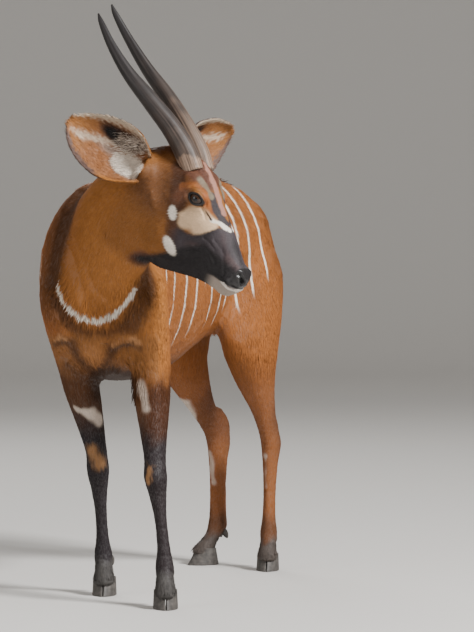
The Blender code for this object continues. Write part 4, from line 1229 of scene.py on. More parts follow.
TEAR_SIDE = [(0.030, 0.029, 0.056), (0.048, 0.014, 0.045), (0.067, 0.001, 0.037)]
TEAR_LINE = [(0.037, 0.003, 0.058), (0.050, -0.003, 0.051), (0.066, -0.011, 0.043), (0.074, -0.015, 0.039)]
RIDGE = [(0.034, 0.030, 0.028), (0.062, 0.011, 0.026), (0.088, 0.000, 0.020), (0.106, -0.004, 0.012)]
CHEVRON = [(0.074, -0.016, 0.036), (0.098, -0.016, 0.024), (0.123, -0.016, 0.008)]
WORN_PATCH = [(-0.010, 0.050, 0.050), (0.006, 0.047, 0.042), (0.022, 0.040, 0.035), (0.036, 0.031, 0.032)]
BARE_STREAK = [(-0.056, 0.089, 0.000), (0.006, 0.060, 0.006), (0.061, 0.026, 0.009), (0.082, 0.012, 0.007)]
CHEEK_SPOTS = [((-0.016, -0.061), (0.0200, 0.0120), -50), ((0.027, -0.138), (0.0270, 0.0135), -34)]
LIP_BAR = [(0.190, -0.134, 0.040), (0.214, -0.131, 0.034), (0.234, -0.129, 0.020), (0.241, -0.128, 0.0)]


def paint_head(paint, body, tones):
    """Cheeks, brows, the pale patch below the eye, the dark muzzle and their white marks."""
    forward, up, wide = body.forward, body.up, np.abs(body.right)
    ragged = waves(body.places, 0.008, 61)
    warp = 0.0025 * waves(body.places, 0.030, 62)
    local = np.stack([forward, up, wide], axis=1)
    signed = np.stack([forward, up, body.right], axis=1)
    on_head = soft(forward, -0.21, -0.12) * soft(up, -0.275, -0.240) * (wide < 0.14)

    def near(points, outer, inner, rough=0.0, places=local):
        return soft(to_line(places, points) + rough * ragged + warp, outer, inner) * on_head

    golden, brown, white = tones.golden, tones.brown, tones.white
    paint.lay(golden * 0.72, on_head)
    paint.lay(brown * 1.3, patch(forward, up, (-0.085, -0.030), (0.080, 0.075), edge=0.6) * on_head * 0.75)
    paint.lay(brown * (1.3, 1.2, 1.5), soft(wide, 0.046, 0.030) * soft(forward, 0.03, 0.00) * on_head * 0.9)
    paint.lay(brown * (0.72, 0.72, 0.85), near(TEMPLE_BAND, 0.038, 0.012) * 0.92)
    paint.lay(brown * (1.25, 1.2, 1.7), near(PLUM, 0.040, 0.018) * 0.9)
    paint.lay(golden * (0.80, 0.68, 0.75), near(BROW, 0.016, 0.006) * 0.9)
    paint.lay(golden * (1.15, 1.30, 1.90), near(BROW_EDGE, 0.0065, 0.0030))
    behind_eye = patch(forward, up, (-0.026, -0.010), (0.017, 0.026), edge=0.7) * (wide > 0.04) * on_head
    paint.lay(brown * (2.0, 1.9, 2.2), behind_eye * 0.75)
    for centre, radii, tilt in TAN_PATCH:
        mask = patch(forward + warp, up + 0.6 * warp, centre, radii, tilt=tilt, edge=0.26)
        paint.lay(tones.tan, mask * on_head)
    paint.lay(golden * (0.80, 0.62, 0.70), near(TEAR_SIDE, 0.0085, 0.0040) * 0.9)
    line = np.interp(forward, *zip(*MUZZLE_LINE)) + 0.0016 * ragged
    muzzle = soft(line - up, -0.006, 0.009) * soft(forward + 0.3 * (up + 0.10), -0.004, 0.040)
    fold = waves(body.places @ FOLD_GRAIN, 0.016, 63)
    muzzle = np.maximum(muzzle, soft(forward, 0.116, 0.124)) * on_head
    paint.lay(tones.grey, muzzle)
    # Painted shading of the muzzle's wrinkles: a painted highlight on the crests of its upper side, and
    # painted shade in the hollows between them.
    pale_wear_and_highlight = muzzle * soft(fold, -0.2, -1.0) * soft(up, -0.125, -0.090)
    paint.lay(tones.grey * (1.7, 1.35, 1.2), pale_wear_and_highlight * 0.7)
    paint.lay(tones.soot, muzzle * soft(fold, 0.0, 0.9) * 0.8)
    # Soot under the jaw: partly its own dark hair, partly painted shade on the jaw's underside.
    jaw = np.interp(forward, *zip(*JAW_LINE)) + 0.003 * ragged
    paint.lay(tones.soot, soft(up - jaw, 0.012, -0.010) * soft(forward, -0.075, -0.050) * on_head)
    lips = soft(up + 0.35 * forward, -0.060, -0.095) * soft(forward, 0.05, 0.10)
    paint.lay(tones.soot, lips * on_head * 0.7)
    paint.lay(tones.grey * 0.8, near(RIDGE, 0.0165, 0.0085))
    paint.lay(white, near(CHEVRON, 0.0078, 0.0048, 0.0010))
    paint.lay(tones.moss, near(WORN_PATCH, 0.0125, 0.0050) * 0.85)
    paint.lay(tones.bare, near(BARE_STREAK, 0.0118, 0.0078, 0.0006, signed))
    for centre, radii, tilt in CHEEK_SPOTS:
        spot = patch(forward + 0.0012 * ragged, up + 0.001 * ragged, centre, radii, tilt=tilt, edge=0.20)
        paint.lay(white, spot * (wide > 0.03) * on_head)
    lower_lip = np.interp(forward, [0.13, 0.165, 0.20, 0.245], [-0.141, -0.131, -0.127, -0.121])
    chin = soft(up - lower_lip, 0.001, -0.007) * soft(forward, 0.140, 0.178)
    paint.lay(white * (0.46, 0.42, 0.41), chin * on_head)
    paint.lay(white * (0.95, 0.95, 0.98), near(LIP_BAR, 0.0068, 0.0042, 0.0008))
    pad = soft(forward, 0.212, 0.220) * soft(up, -0.122, -0.117)
    paint.lay(tones.soot * 0.6, pad * on_head)
    # Painted shade inside the nostrils.
    paint.lay(tones.soot * 0.1, near(NOSTRIL, 0.0085, 0.0050))
    for side in SIDES.values():
        along, above, out, reach = EyePlace(side).read(body.places)
        paint.lay(tones.soot * 0.4, soft(reach, 1.52, 1.24) * (out > 0) * (out < 0.06))
    paint.lay(tones.brown * 0.4, near(TEAR_LINE, 0.0042, 0.0016))


def coat_colours(places, coat):
    """The colour of skin and coat at each place, given in the stance frame."""
    body = Body(places)
    tones = read_tones(coat)
    paint = Paint(len(places), tones.chestnut)
    for lay in (paint_trunk, paint_neck, paint_legs, paint_head):
        lay(paint, body, tones)
    return paint.colours


def lie_guides():
    """Segments that the coat follows: start, end, way of the hair, and the thickness round them."""
    guides = []
    for limb in LEGS.values():
        rows = limb[1:]
        for row, below in zip(rows, rows[1:]):
            way = Vector(below[:3]) - Vector(row[:3])
            guides.append((row[:3], below[:3], way.normalized(), row.along))
    for row, behind in zip(TRUNK, TRUNK[1:]):
        middle, rear = ((r.x, r.y, r.bottom + 0.55 * (r.top - r.bottom)) for r in (row, behind))
        way = (Vector(rear) - Vector(middle)).normalized() + Vector((0, 0, -1.1))
        guides.append((middle, rear, way.normalized(), row.half))
    for row, ahead in zip(NECK[1:], NECK[2:]):
        way = (Vector(row[:3]) - Vector(ahead[:3])).normalized() + Vector((0, 0, -0.35))
        guides.append((row[:3], ahead[:3], way.normalized(), row.across))
    nose, poll = HeadFrame.point(0.20, -0.10), HeadFrame.point(-0.10, -0.06)
    guides.append((tuple(nose), tuple(poll), HeadFrame.way(-1.0, -0.22), 0.075))
    return guides


def tail_guides():
    return [
        (row[:3], below[:3], (Vector(below[:3]) - Vector(row[:3])).normalized(), row.along)
        for row, below in zip(TAIL, TAIL[1:])
    ]


def lie_of(places, normals, guides):
    """The way in which the coat lies at each place, along the surface."""
    total = np.zeros_like(places)
    for start, end, way, thick in guides:
        apart = to_segment(places, start, end)[0] / thick
        total += np.array(way) * (1.0 / (apart ** 4 + 0.01))[:, None]
    return lay_flat(total, normals)


def wire(tree, node, wires):
    """Give a node's inputs values or other nodes' outputs."""
    for key, value in wires.items():
        socket = node.inputs[key]
        if isinstance(value, bpy.types.NodeSocket):
            tree.links.new(value, socket)
        else:
            socket.default_value = value
    return node


def put(tree, kind, wires=None, **settings):
    """Add a node, set its properties and wire its inputs."""
    node = tree.nodes.new(kind)
    for name, value in settings.items():
        setattr(node, name, value)
    return wire(tree, node, wires or {})


def sum_up(tree, operation, *values):
    """A number worked out from one or two others."""
    return put(tree, "ShaderNodeMath", dict(enumerate(values)), operation=operation).outputs[0]


def scaled(tree, vector, share):
    return put(tree, "ShaderNodeVectorMath", {0: vector, "Scale": share}, operation="SCALE").outputs[0]


def added(tree, first, second):
    return put(tree, "ShaderNodeVectorMath", {0: first, 1: second}, operation="ADD").outputs[0]


def stored(tree, name, kind="FLOAT"):
    """What a mesh holds under a name, read in Geometry Nodes."""
    return put(tree, "GeometryNodeInputNamedAttribute", {"Name": name}, data_type=kind).outputs[0]


def store(tree, shape, name, value):
    """Points that hold a vector under a name."""
    return put(tree, "GeometryNodeStoreNamedAttribute", {
        "Geometry": shape, "Name": name, "Value": value,
    }, data_type="FLOAT_VECTOR", domain="POINT").outputs[0]


TREE_INPUTS = (
    ("Surface", "NodeSocketGeometry"), ("Density", "NodeSocketFloat"), ("Length", "NodeSocketFloat"),
    ("Width", "NodeSocketFloat"), ("Thickness", "NodeSocketFloat"), ("Lift", "NodeSocketFloat"),
    ("Stray", "NodeSocketFloat"), ("Seed", "NodeSocketInt"), ("Tuft", "NodeSocketObject"),
    ("Material", "NodeSocketMaterial"),
)


def coat_tree():
    """Geometry Nodes that grow tufts out of a surface, each along the surface's lie."""
    tree = bpy.data.node_groups.new("coat", "GeometryNodeTree")
    for name, kind in TREE_INPUTS:
        tree.interface.new_socket(name, in_out="INPUT", socket_type=kind)
    tree.interface.new_socket("Tufts", in_out="OUTPUT", socket_type="NodeSocketGeometry")
    given = put(tree, "NodeGroupInput").outputs
    grown = stored(tree, "grown")
    normal = stored(tree, "smooth", "FLOAT_VECTOR")

    # Points on the surface, which remember their place and the ground's normal
    sown = put(tree, "GeometryNodeDistributePointsOnFaces", {
        "Mesh": given["Surface"], "Seed": given["Seed"],
        "Density": sum_up(tree, "MULTIPLY", given["Density"], stored(tree, "dense")),
    }, distribute_method="RANDOM").outputs["Points"]
    rooted = store(tree, sown, "root", put(tree, "GeometryNodeInputPosition").outputs[0])
    grounded = store(tree, rooted, "ground", normal)

    # Each tuft points along the lie, raised by the lift and turned by a random stray
    draw = put(tree, "FunctionNodeRandomValue", {
        0: (-1.0, -1.0, -1.0), 1: (1.0, 1.0, 1.0), "Seed": given["Seed"],
    }, data_type="FLOAT_VECTOR").outputs[0]
    raised = scaled(tree, normal, sum_up(tree, "SINE", given["Lift"]))
    way = added(tree, stored(tree, "lie", "FLOAT_VECTOR"), raised)
    way = added(tree, way, scaled(tree, draw, given["Stray"]))
    turn = put(tree, "FunctionNodeAlignRotationToVector", {"Vector": way}, axis="Z").outputs[0]
    turn = put(tree, "FunctionNodeAlignRotationToVector", {
        "Rotation": turn, "Vector": normal,
    }, axis="Y", pivot_axis="Z").outputs[0]

    # Its size follows how far the coat has grown there
    varied = put(tree, "FunctionNodeRandomValue", {
        2: 0.70, 3: 1.25, "Seed": given["Seed"],
    }, data_type="FLOAT").outputs[1]
    long = sum_up(tree, "MULTIPLY", sum_up(tree, "MULTIPLY", given["Length"], grown), varied)
    slim = sum_up(tree, "POWER", grown, 0.5)
    wide, thick = (sum_up(tree, "MULTIPLY", given[name], slim) for name in ("Width", "Thickness"))
    tufts = put(tree, "GeometryNodeInstanceOnPoints", {
        "Points": grounded, "Rotation": turn,
        "Instance": put(tree, "GeometryNodeObjectInfo", {"Object": given["Tuft"]}).outputs["Geometry"],
        "Scale": put(tree, "ShaderNodeCombineXYZ", {0: wide, 1: thick, 2: long}).outputs[0],
    }).outputs[0]
    real = put(tree, "GeometryNodeRealizeInstances", {"Geometry": tufts}).outputs[0]
    dressed = put(tree, "GeometryNodeSetMaterial", {"Geometry": real, "Material": given["Material"]})
    put(tree, "NodeGroupOutput", {0: dressed.outputs[0]})
    return tree


def short_tuft():
    """A flat pointed tuft with a ridge, from z = 0 at its root to z = 1 at its tip."""
    shape = bmesh.new()
    left, right, ridge, tip = (
        shape.verts.new(place) for place in ((-0.5, -0.4, 0), (0.5, -0.4, 0), (0, 0.6, 0.30), (0, -0.8, 1.0))
    )
    for corners in ((left, right, ridge), (left, ridge, tip), (ridge, right, tip), (left, tip, right)):
        shape.faces.new(corners)
    face_outwards(shape)
    return shape


def long_lock():
    """A flat tapered lock that bends down, from z = 0 at its root to z = 1 at its tip."""
    rings = []
    for share, swell in ((0.0, 0.8), (0.35, 1.0), (0.70, 0.70)):
        rings.append([
            Vector((x * 0.5 * swell, y * 0.5 * swell - share * share, share))
            for x, y in ((1, 0), (0, 1), (-1, 0), (0, -1))
        ])
    shape = loft(rings)
    shape.verts.ensure_lookup_table()
    shape.verts[-1].co = Vector((0, -1.0, 1.0))
    return shape


def unwrap(places, region):
    """Places on an unwrap of the skin: along each part, and round its own middle."""
    body = Body(places)
    if region.startswith(("head", "ear", "face")):
        along = (body.forward + 0.50) / 0.80
        round_it = np.arctan2(body.right, body.up + 0.08)
    elif region == "coronet":
        along = 0.05 + 8 * (body.z - 0.045) + 0.2 * (body.y > 0.55)
        round_it = np.arctan2(body.y % 0.55 - 0.2, body.x + 0.15)
    elif region.startswith("leg"):
        along = body.z / 1.2
        course = np.array(LEGS[region])[::-1]
        middle_x, middle_y = (np.interp(body.z, course[:, 2], course[:, axis]) for axis in (0, 1))
        round_it = np.arctan2(body.y - middle_y, body.x - middle_x)
    else:
        along = (body.station + 0.30) / 1.70
        round_it = np.arctan2(body.beside, body.z - (body.bottom + body.top) / 2)
    return np.stack([np.clip(along, 0.01, 0.99), 0.02 + 0.96 * (round_it / math.tau + 0.5)], axis=1)


def grow(name, carrier, coat, kind, material, region, seed, colours=None):
    """Grow a piece of coat on a carrier that holds lie, dense and grown, and turn the carrier into it."""
    tree = bpy.data.node_groups.get("coat") or coat_tree()
    template = make_object("tuft", kind.tuft())
    change = carrier.modifiers.new("coat", "NODES")
    change.node_group = tree
    values = {
        "Density": kind.density * coat.fullness, "Length": kind.length, "Width": kind.width,
        "Thickness": kind.thickness, "Lift": math.radians(kind.lift), "Stray": kind.stray,
        "Seed": seed, "Tuft": template, "Material": material,
    }
    for item in tree.interface.items_tree:
        if item.in_out == "INPUT" and item.name in values:
            change[item.identifier] = values[item.name]
    apply_modifiers(carrier)
    carrier.name = name
    carrier.data.name = name
    dress_tufts(carrier.data, get_places(template.data)[:, 2], coat, region, seed, colours or coat_colours)
    bpy.data.objects.remove(template)
    return carrier


def dress_tufts(mesh, shares, coat, region, seed, colours):
    """Give each tuft the colour of its root, its patch of the unwrap and soft normals.

    Shares tells how far up the tuft each of its vertices lies; the vertices of one tuft follow
    one another in the mesh.
    """
    count = len(shares)
    total = len(mesh.vertices)
    root, ground = (read_field(mesh.attributes[name].data, "vector") for name in ("root", "ground"))
    first = root[::count]
    draw = np.random.default_rng(seed)
    tones = colours(root + (get_places(mesh) - root) * TIP_SHARE, coat)
    tones = tones * np.repeat(draw.uniform(0.84, 1.16, (len(first), 1)), count, axis=0)
    shade = np.tile(0.84 + 0.24 * shares, len(first))
    give_colours(mesh, tones * shade[:, None])
    flat = np.repeat(unwrap(first, region), count, axis=0)
    angle = math.tau * (np.arange(total) % count) / count
    flat += 0.0015 * np.stack([np.cos(angle), np.sin(angle)], axis=1)
    layer = mesh.uv_layers.new(name="OFBake")
    layer.data.foreach_set("uv", flat[corner_vertices(mesh)].ravel())
    mesh.shade_smooth()
    mesh.normals_split_custom_set_from_vertices(unit(get_normals(mesh) * 0.18 + ground * 0.82).tolist())
    drop_attributes(mesh, "root", "ground", "lie", "dense", "grown", "smooth")


def region_of(centres):
    """The number of the coat piece that each place belongs to."""
    body = Body(centres)
    head = (body.forward > -0.165) & (body.up > -0.262) & (np.abs(body.right) < HEAD_HALF_WIDTH)
    neck = ~head & (body.station < 0.02) & (body.z > 0.80)
    leg = (body.z < 0.66) & ~head & ~neck
    numbers = 2 * (body.station > 0.60) + (body.beside >= 0)
    fore = body.y < 0.55
    on_left = body.x >= np.where(fore, -0.31, 0.0)
    numbers[leg] = (np.where(fore, 4, 6) + on_left)[leg]
    numbers[neck] = 8
    numbers[head] = 9
    numbers[head & (body.forward > 0.015)] = 10
    return numbers


REGIONS = [
    ("trunk_front_left", "trunk", "body_coat"), ("trunk_front_right", "trunk", "body_coat"),
    ("trunk_rear_left", "trunk", "body_coat"), ("trunk_rear_right", "trunk", "body_coat"),
    ("foreleg_right", "leg_fr", "leg_coat"), ("foreleg_left", "leg_fl", "leg_coat"),
    ("hindleg_right", "leg_hr", "leg_coat"), ("hindleg_left", "leg_hl", "leg_coat"),
    ("neck", "neck", "neck_coat"), ("head", "head", "face_coat"), ("face", "face", "face_coat"),
]

COATS = {
    "trunk": Coat(77000, 0.0150, 0.0031, 0.0005, 4, 0.06, short_tuft),
    "neck": Coat(92000, 0.0170, 0.0029, 0.0006, 5, 0.09, short_tuft),
    "leg": Coat(84000, 0.0120, 0.0027, 0.0005, 4, 0.07, short_tuft),
    "head": Coat(230000, 0.0090, 0.0019, 0.0007, 6, 0.11, short_tuft),
    "face": Coat(500000, 0.0060, 0.0012, 0.0005, 6, 0.10, short_tuft),
}


def growth(places):
    """Length and density of the coat at each place, as shares of its piece's own."""
    body = Body(places)
    forward, up, wide = body.forward, body.up, np.abs(body.right)
    grown = np.ones(len(places))
    dense = np.ones(len(places))
    lower = soft(body.z, 0.60, 0.30)
    grown *= 1 - 0.35 * lower
    dense *= 1 + 0.6 * lower
    belly = soft(body.height, 0.12, 0.0) * soft(body.z, 0.55, 0.60)
    grown *= 1 + 0.5 * belly
    on_face = soft(forward, -0.02, 0.03) * soft(up, -0.30, -0.24) * (wide < 0.14)
    grown *= 1 - 0.30 * on_face * soft(forward, 0.02, 0.16)
    pad = soft(forward, 0.206, 0.216) * soft(up, -0.128, -0.120) * on_face
    dense *= 1 - pad
    for side in SIDES.values():
        along, above, out, reach = EyePlace(side).read(places)
        near = (out > 0) & (out < 0.05)
        dense *= 1 - soft(reach, 1.32, 1.16) * near
        grown *= 1 - 0.45 * soft(reach, 2.6, 1.4) * near
    bare = to_line(np.stack([forward, up, body.right], 1), BARE_STREAK)
    dense *= 1 - 0.85 * soft(bare, 0.011, 0.007) * (np.abs(forward) < 0.09)
    return np.maximum(grown, 0.2), np.maximum(dense, 0.0)


def part_carrier(skin, chosen, name):
    """A copy of the chosen faces of the skin."""
    shape = shape_of(skin.data)
    gone = [face for face in shape.faces if not chosen[face.index]]
    bmesh.ops.delete(shape, geom=gone, context="FACES")
    return make_object(name, shape)


def even_normals(mesh, rounds=3):
    """Normals averaged over the neighbours."""
    normals = get_normals(mesh)
    near = Neighbours(mesh)
    for turn in range(rounds):
        normals = unit(near.mean(normals) + normals, 1e-12)
    return normals


def prepare(carrier, lie, grown, dense):
    """Store on the carrier what its coat needs to know."""
    give_attribute(carrier.data, "smooth", "FLOAT_VECTOR", even_normals(carrier.data))
    give_attribute(carrier.data, "lie", "FLOAT_VECTOR", lie)
    give_attribute(carrier.data, "grown", "FLOAT", grown)
    give_attribute(carrier.data, "dense", "FLOAT", dense)


def new_material(name):
    """A material with its node tree and its one shader."""
    material = bpy.data.materials.new(name)
    material.use_nodes = True
    return material, material.node_tree, material.node_tree.nodes["Principled BSDF"]


def stored_look(tree, name, output):
    """What a mesh holds under a name, read in a material."""
    return put(tree, "ShaderNodeAttribute", attribute_name=name).outputs[output]


def noise(tree, where, scale, detail):
    node = put(tree, "ShaderNodeTexNoise", {"Vector": where, "Scale": scale, "Detail": detail})
    return node.outputs["Fac"]


def spread(tree, value, low, high, start=0.0, end=1.0):
    """A value between start and end drawn out to between low and high."""
    return put(tree, "ShaderNodeMapRange", {
        "Value": value, "From Min": start, "From Max": end, "To Min": low, "To Max": high,
    }).outputs[0]


def rough_up(tree, height, strength, distance):
    """A normal whose surface is raised by a height."""
    return put(tree, "ShaderNodeBump", {
        "Height": height, "Strength": strength, "Distance": distance,
    }).outputs[0]


def ramp_of(tree, value, first, last, *between):
    """Colours over a value: the first and last stop and those between them, each a place and a tone."""
    ramp = put(tree, "ShaderNodeValToRGB", {"Fac": value})
    stops = ramp.color_ramp.elements
    stops[0].position, stops[0].color = first[0], (*first[1], 1)
    stops[1].position, stops[1].color = last[0], (*last[1], 1)
    for place, tone in between:
        stops.new(place).color = (*tone, 1)
    return ramp.outputs["Color"]


def coat_material(name, roughness, sheen):
    """The hair's own material: its colour comes with each tuft."""
    material, tree, shader = new_material(name)
    wire(tree, shader, {
        "Base Color": stored_look(tree, "coat", "Color"), "Roughness": roughness,
        "Specular IOR Level": sheen,
    })
    return material


def skin_material():
    """Bare skin and short flat hair: the coat's colours over a fine bump."""
    material, tree, shader = new_material("skin")
    where = put(tree, "ShaderNodeTexCoord").outputs["Object"]
    wet = stored_look(tree, "wet", "Fac")
    grain = noise(tree, where, 420.0, 3.0)
    pebble = put(tree, "ShaderNodeTexVoronoi", {"Vector": where, "Scale": 330.0}).outputs["Distance"]
    both = put(tree, "ShaderNodeMix", {0: wet, 2: grain, 3: pebble}, data_type="FLOAT").outputs[0]
    wire(tree, shader, {
        "Base Color": scaled(tree, stored_look(tree, "coat", "Color"), spread(tree, grain, 0.72, 1.18)),
        "Roughness": spread(tree, wet, 0.68, 0.34),
        "Normal": rough_up(tree, both, 0.40, 0.0008),
    })
    return material


def finish_piece(thing, slot, *nodes):
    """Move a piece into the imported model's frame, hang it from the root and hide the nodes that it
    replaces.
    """
    set_places(thing.data, get_places(thing.data) + np.array(frame_shift()))
    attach(thing, "root")
    if nodes:
        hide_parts(*nodes)


def dress_piece(thing, material, slot, *nodes):
    """Give a solid piece its material and smooth shading, and hand it to the frame."""
    thing.data.materials.append(material)
    thing.data.shade_smooth()
    finish_piece(thing, slot, *nodes)


def flesh_nodes():
    """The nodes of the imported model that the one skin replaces."""
    legs = [
        f"{end}_{level}_{side}" for end in ("foreleg", "hindleg")
        for level in ("upper", "lower") for side in ("left", "right")
    ]
    return ["head", "neck", "torso", *legs]


class BONGO_OT_skin(bpy.types.Operator):
    """Make the skin and the short coat that grows on it"""

    bl_idname = "bongo.skin"
    bl_label = "Skin and coat"

    def execute(self, context):
        coat = context.scene.bongo_coat
        skin = make_skin(coat)
        mesh = skin.data
        places = get_places(mesh)
        give_colours(mesh, coat_colours(places, coat) * 0.9)
        forward, up, right = HeadFrame.read(places)
        give_attribute(mesh, "wet", "FLOAT", soft(forward, 0.212, 0.220) * soft(up, -0.123, -0.118))
        prepare(skin, lie_of(places, get_normals(mesh), lie_guides()), *growth(places))
        hair = coat_material("hair", 0.60, 0.12)
        regions = region_of(face_centres(mesh))
        for number, (name, region, slot) in enumerate(REGIONS):
            carrier = part_carrier(skin, regions == number, f"coat_{name}")
            kind = COATS[region.split("_")[0]]
            piece = grow(f"coat_{name}", carrier, coat, kind, hair, region, coat.seed + 10 * number)
            finish_piece(piece, slot)
        drop_attributes(mesh, "lie", "grown", "dense", "smooth")
        dress_piece(skin, skin_material(), "body_coat", *flesh_nodes())
        return {"FINISHED"}


def crest_growth(body):
    """Length and density of the crest: shorter over the neck, dense along the spine."""
    grown = 0.55 + 0.45 * soft(body.station, 0.0, 0.3)
    return grown, soft(np.abs(body.beside), 0.018, 0.010)


def fringe_growth(body):
    """Length and density of the long hair on the throat, brisket and elbows."""
    throat = soft(to_line(body.places, CRESCENT), 0.045, 0.015)
    return np.ones(len(body.z)), np.maximum(throat, 0.6 * soft(body.z, 0.72, 0.66))


def coronet_growth(body):
    """Length and density of the hair that hangs over the hooves."""
    return 0.7 + 0.3 * soft(body.z, 0.085, 0.060), np.ones(len(body.z))


class BONGO_OT_fringes(bpy.types.Operator):
    """Make the crest along the back and the long hair on throat, brisket, elbows and pasterns"""

    bl_idname = "bongo.fringes"
    bl_label = "Crest and fringes"

    def execute(self, context):
        coat = context.scene.bongo_coat
        skin = bpy.data.objects["skin"]
        shift = np.array(frame_shift())
        hair = bpy.data.materials["hair"]
        body = Body(face_centres(skin.data) - shift)
        crest = (np.abs(body.beside) < 0.020) & (body.height > 0.90)
        crest &= (body.station > 0.00) & (body.station < 1.17)
        throat = to_line(body.places, CRESCENT) < 0.050
        brisket = (body.z < 0.70) & (body.z > 0.57) & (body.y < 0.10) & (np.abs(body.x + 0.35) < 0.10)
        coronet = (body.z < 0.088) & (body.z > 0.050)
        pieces = (
            ("crest", crest, crest_growth, "dark_coat",
             Coat(30000, 0.030, 0.0050, 0.0024, 26, 0.16, long_lock)),
            ("fringe", throat | brisket, fringe_growth, "body_coat",
             Coat(24000, 0.026, 0.0036, 0.0018, 15, 0.22, long_lock)),
            ("coronet", coronet, coronet_growth, "leg_coat",
             Coat(76000, 0.0145, 0.0026, 0.0010, 13, 0.14, long_lock)),
        )
        for number, (name, chosen, grows, slot, kind) in enumerate(pieces):
            carrier = part_carrier(skin, chosen, name)
            places = get_places(carrier.data) - shift
            set_places(carrier.data, places)
            lie = lie_of(places, get_normals(carrier.data), lie_guides())
            prepare(carrier, lie, *grows(Body(places)))
            piece = grow(f"coat_{name}", carrier, coat, kind, hair, name, coat.seed + 300 + number)
            finish_piece(piece, slot)
        return {"FINISHED"}


def ear_course(side):
    """The ear's middle line: out of the skull, then back to the tip."""
    sign = SIDES[side]
    root = HeadFrame.point(-0.134, -0.026, sign * 0.066)
    bend = HeadFrame.point(-0.186, -0.018, sign * 0.140)
    return root, bend, HeadFrame.point(*EAR_TIPS[side])


def course_point(course, share):
    root, bend, tip = course
    return root * (1 - share) ** 2 + bend * (2 * share * (1 - share)) + tip * share ** 2


def course_way(course, share):
    return (course_point(course, share + 0.02) - course_point(course, share - 0.02)).normalized()


def ear_sheet(side, lengthwise=44, across=30):
    """The ear's wall as an open, curled leaf, its hollow facing the way the ear opens."""
    course = ear_course(side)
    rows = smooth_rows(EAR_PROFILE, 20)
    shape = bmesh.new()
    grid = []
    for index in range(lengthwise + 1):
        share = index / lengthwise
        along, half, curl = rows[round(share * (len(rows) - 1))]
        place = EAR_START + (1 - EAR_START) * along
        centre = course_point(course, place)
        tangent = course_way(course, place)
        opening = EAR_OPENS[side] - tangent * EAR_OPENS[side].dot(tangent)
        opening.normalize()
        out = tangent.cross(opening)
        width = EAR_WIDTH / 2 * half
        radius = width / math.sin(min(curl, math.pi / 2))
        line = []
        for step in range(across + 1):
            angle = curl * (2 * step / across - 1)
            line.append(shape.verts.new(
                centre + out * (radius * math.sin(angle)) + opening * (radius * (0.6 - math.cos(angle)))
            ))
        grid.append(line)
    bridge(shape, grid, closed=False)
    face_outwards(shape)
    return shape


def ear_root(side, slim=1.0):
    """The solid stem that stands in the skull and closes the bottom of the cup."""
    course = ear_course(side)
    rings = []
    for place, radius in ((-0.10, 0.8), (0.04, 1.0), (0.12, 1.1), (0.19, 1.0)):
        centre = course_point(course, place)
        across = course_way(course, place).cross(EAR_OPENS[side]).normalized()
        up = across.cross(course_way(course, place))
        reach = EAR_ROOT * radius * slim
        rings.append(oval(centre, across, up, reach, reach, reach, count=28))
    return loft(rings)


def make_ear(side):
    """Wall and stem as one closed surface."""
    leaf = make_object("leaf", ear_sheet(side))
    wall = leaf.modifiers.new("wall", "SOLIDIFY")
    wall.thickness = EAR_WALL * 0.95
    wall.offset = 0.0
    apply_modifiers(leaf)
    shape = shape_of(leaf.data)
    bpy.data.objects.remove(leaf)
    ear = join_shapes(f"ear_skin_{side}", [shape, ear_root(side, 0.80)])
    remesh(ear, EAR_VOXEL)
    round_off(ear.data, np.ones(len(ear.data.vertices)), 3)
    return ear


class EarPlace:
    """Where places lie on an ear: along its course, across it, and how far up its hollow.

    Inside tells which places lie in the hollow; it is read off their normals, or given.
    """

    def __init__(self, side, places, normals=None, inside=None):
        course = ear_course(side)
        shares = np.linspace(0, 1.05, 60)
        middles = np.array([course_point(course, share) for share in shares])
        nearest = np.argmin(((places[:, None, :] - middles[None]) ** 2).sum(axis=2), axis=1)
        self.along = shares[nearest]
        self.tangent = np.array([course_way(course, share) for share in shares])[nearest]
        opens = lay_flat(np.tile(np.array(EAR_OPENS[side]), (len(places), 1)), self.tangent)
        self.sideways = np.cross(self.tangent, opens)
        away = places - middles[nearest]
        across, depth = dots(away, self.sideways)[:, 0], dots(away, opens)[:, 0]
        rows = np.array(smooth_rows(EAR_PROFILE, 20))
        share = (self.along - EAR_START) / (1 - EAR_START)
        half = np.interp(share, rows[:, 0], rows[:, 1]) * EAR_WIDTH / 2
        curl = np.interp(share, rows[:, 0], rows[:, 2])
        radius = half / np.sin(np.minimum(curl, math.pi / 2))
        if normals is not None:
            inward = lay_flat(opens * (radius * 0.6)[:, None] - away, self.tangent)
            inside = dots(normals, inward)[:, 0] > 0
        self.inside = inside
        self.edge = np.abs(np.arctan2(across, radius * 0.6 - depth)) / curl
        self.upper = across * SIDES[side]


EAR_STREAK = [(0.90, -0.012), (0.80, 0.004), (0.70, 0.016), (0.60, 0.026)]


def nearest_index(places, others):
    """For each place the number of the nearest of the other places."""
    tree = KDTree(len(others))
    for index, place in enumerate(others):
        tree.insert(place, index)
    tree.balance()
    return np.array([tree.find(place)[1] for place in places])


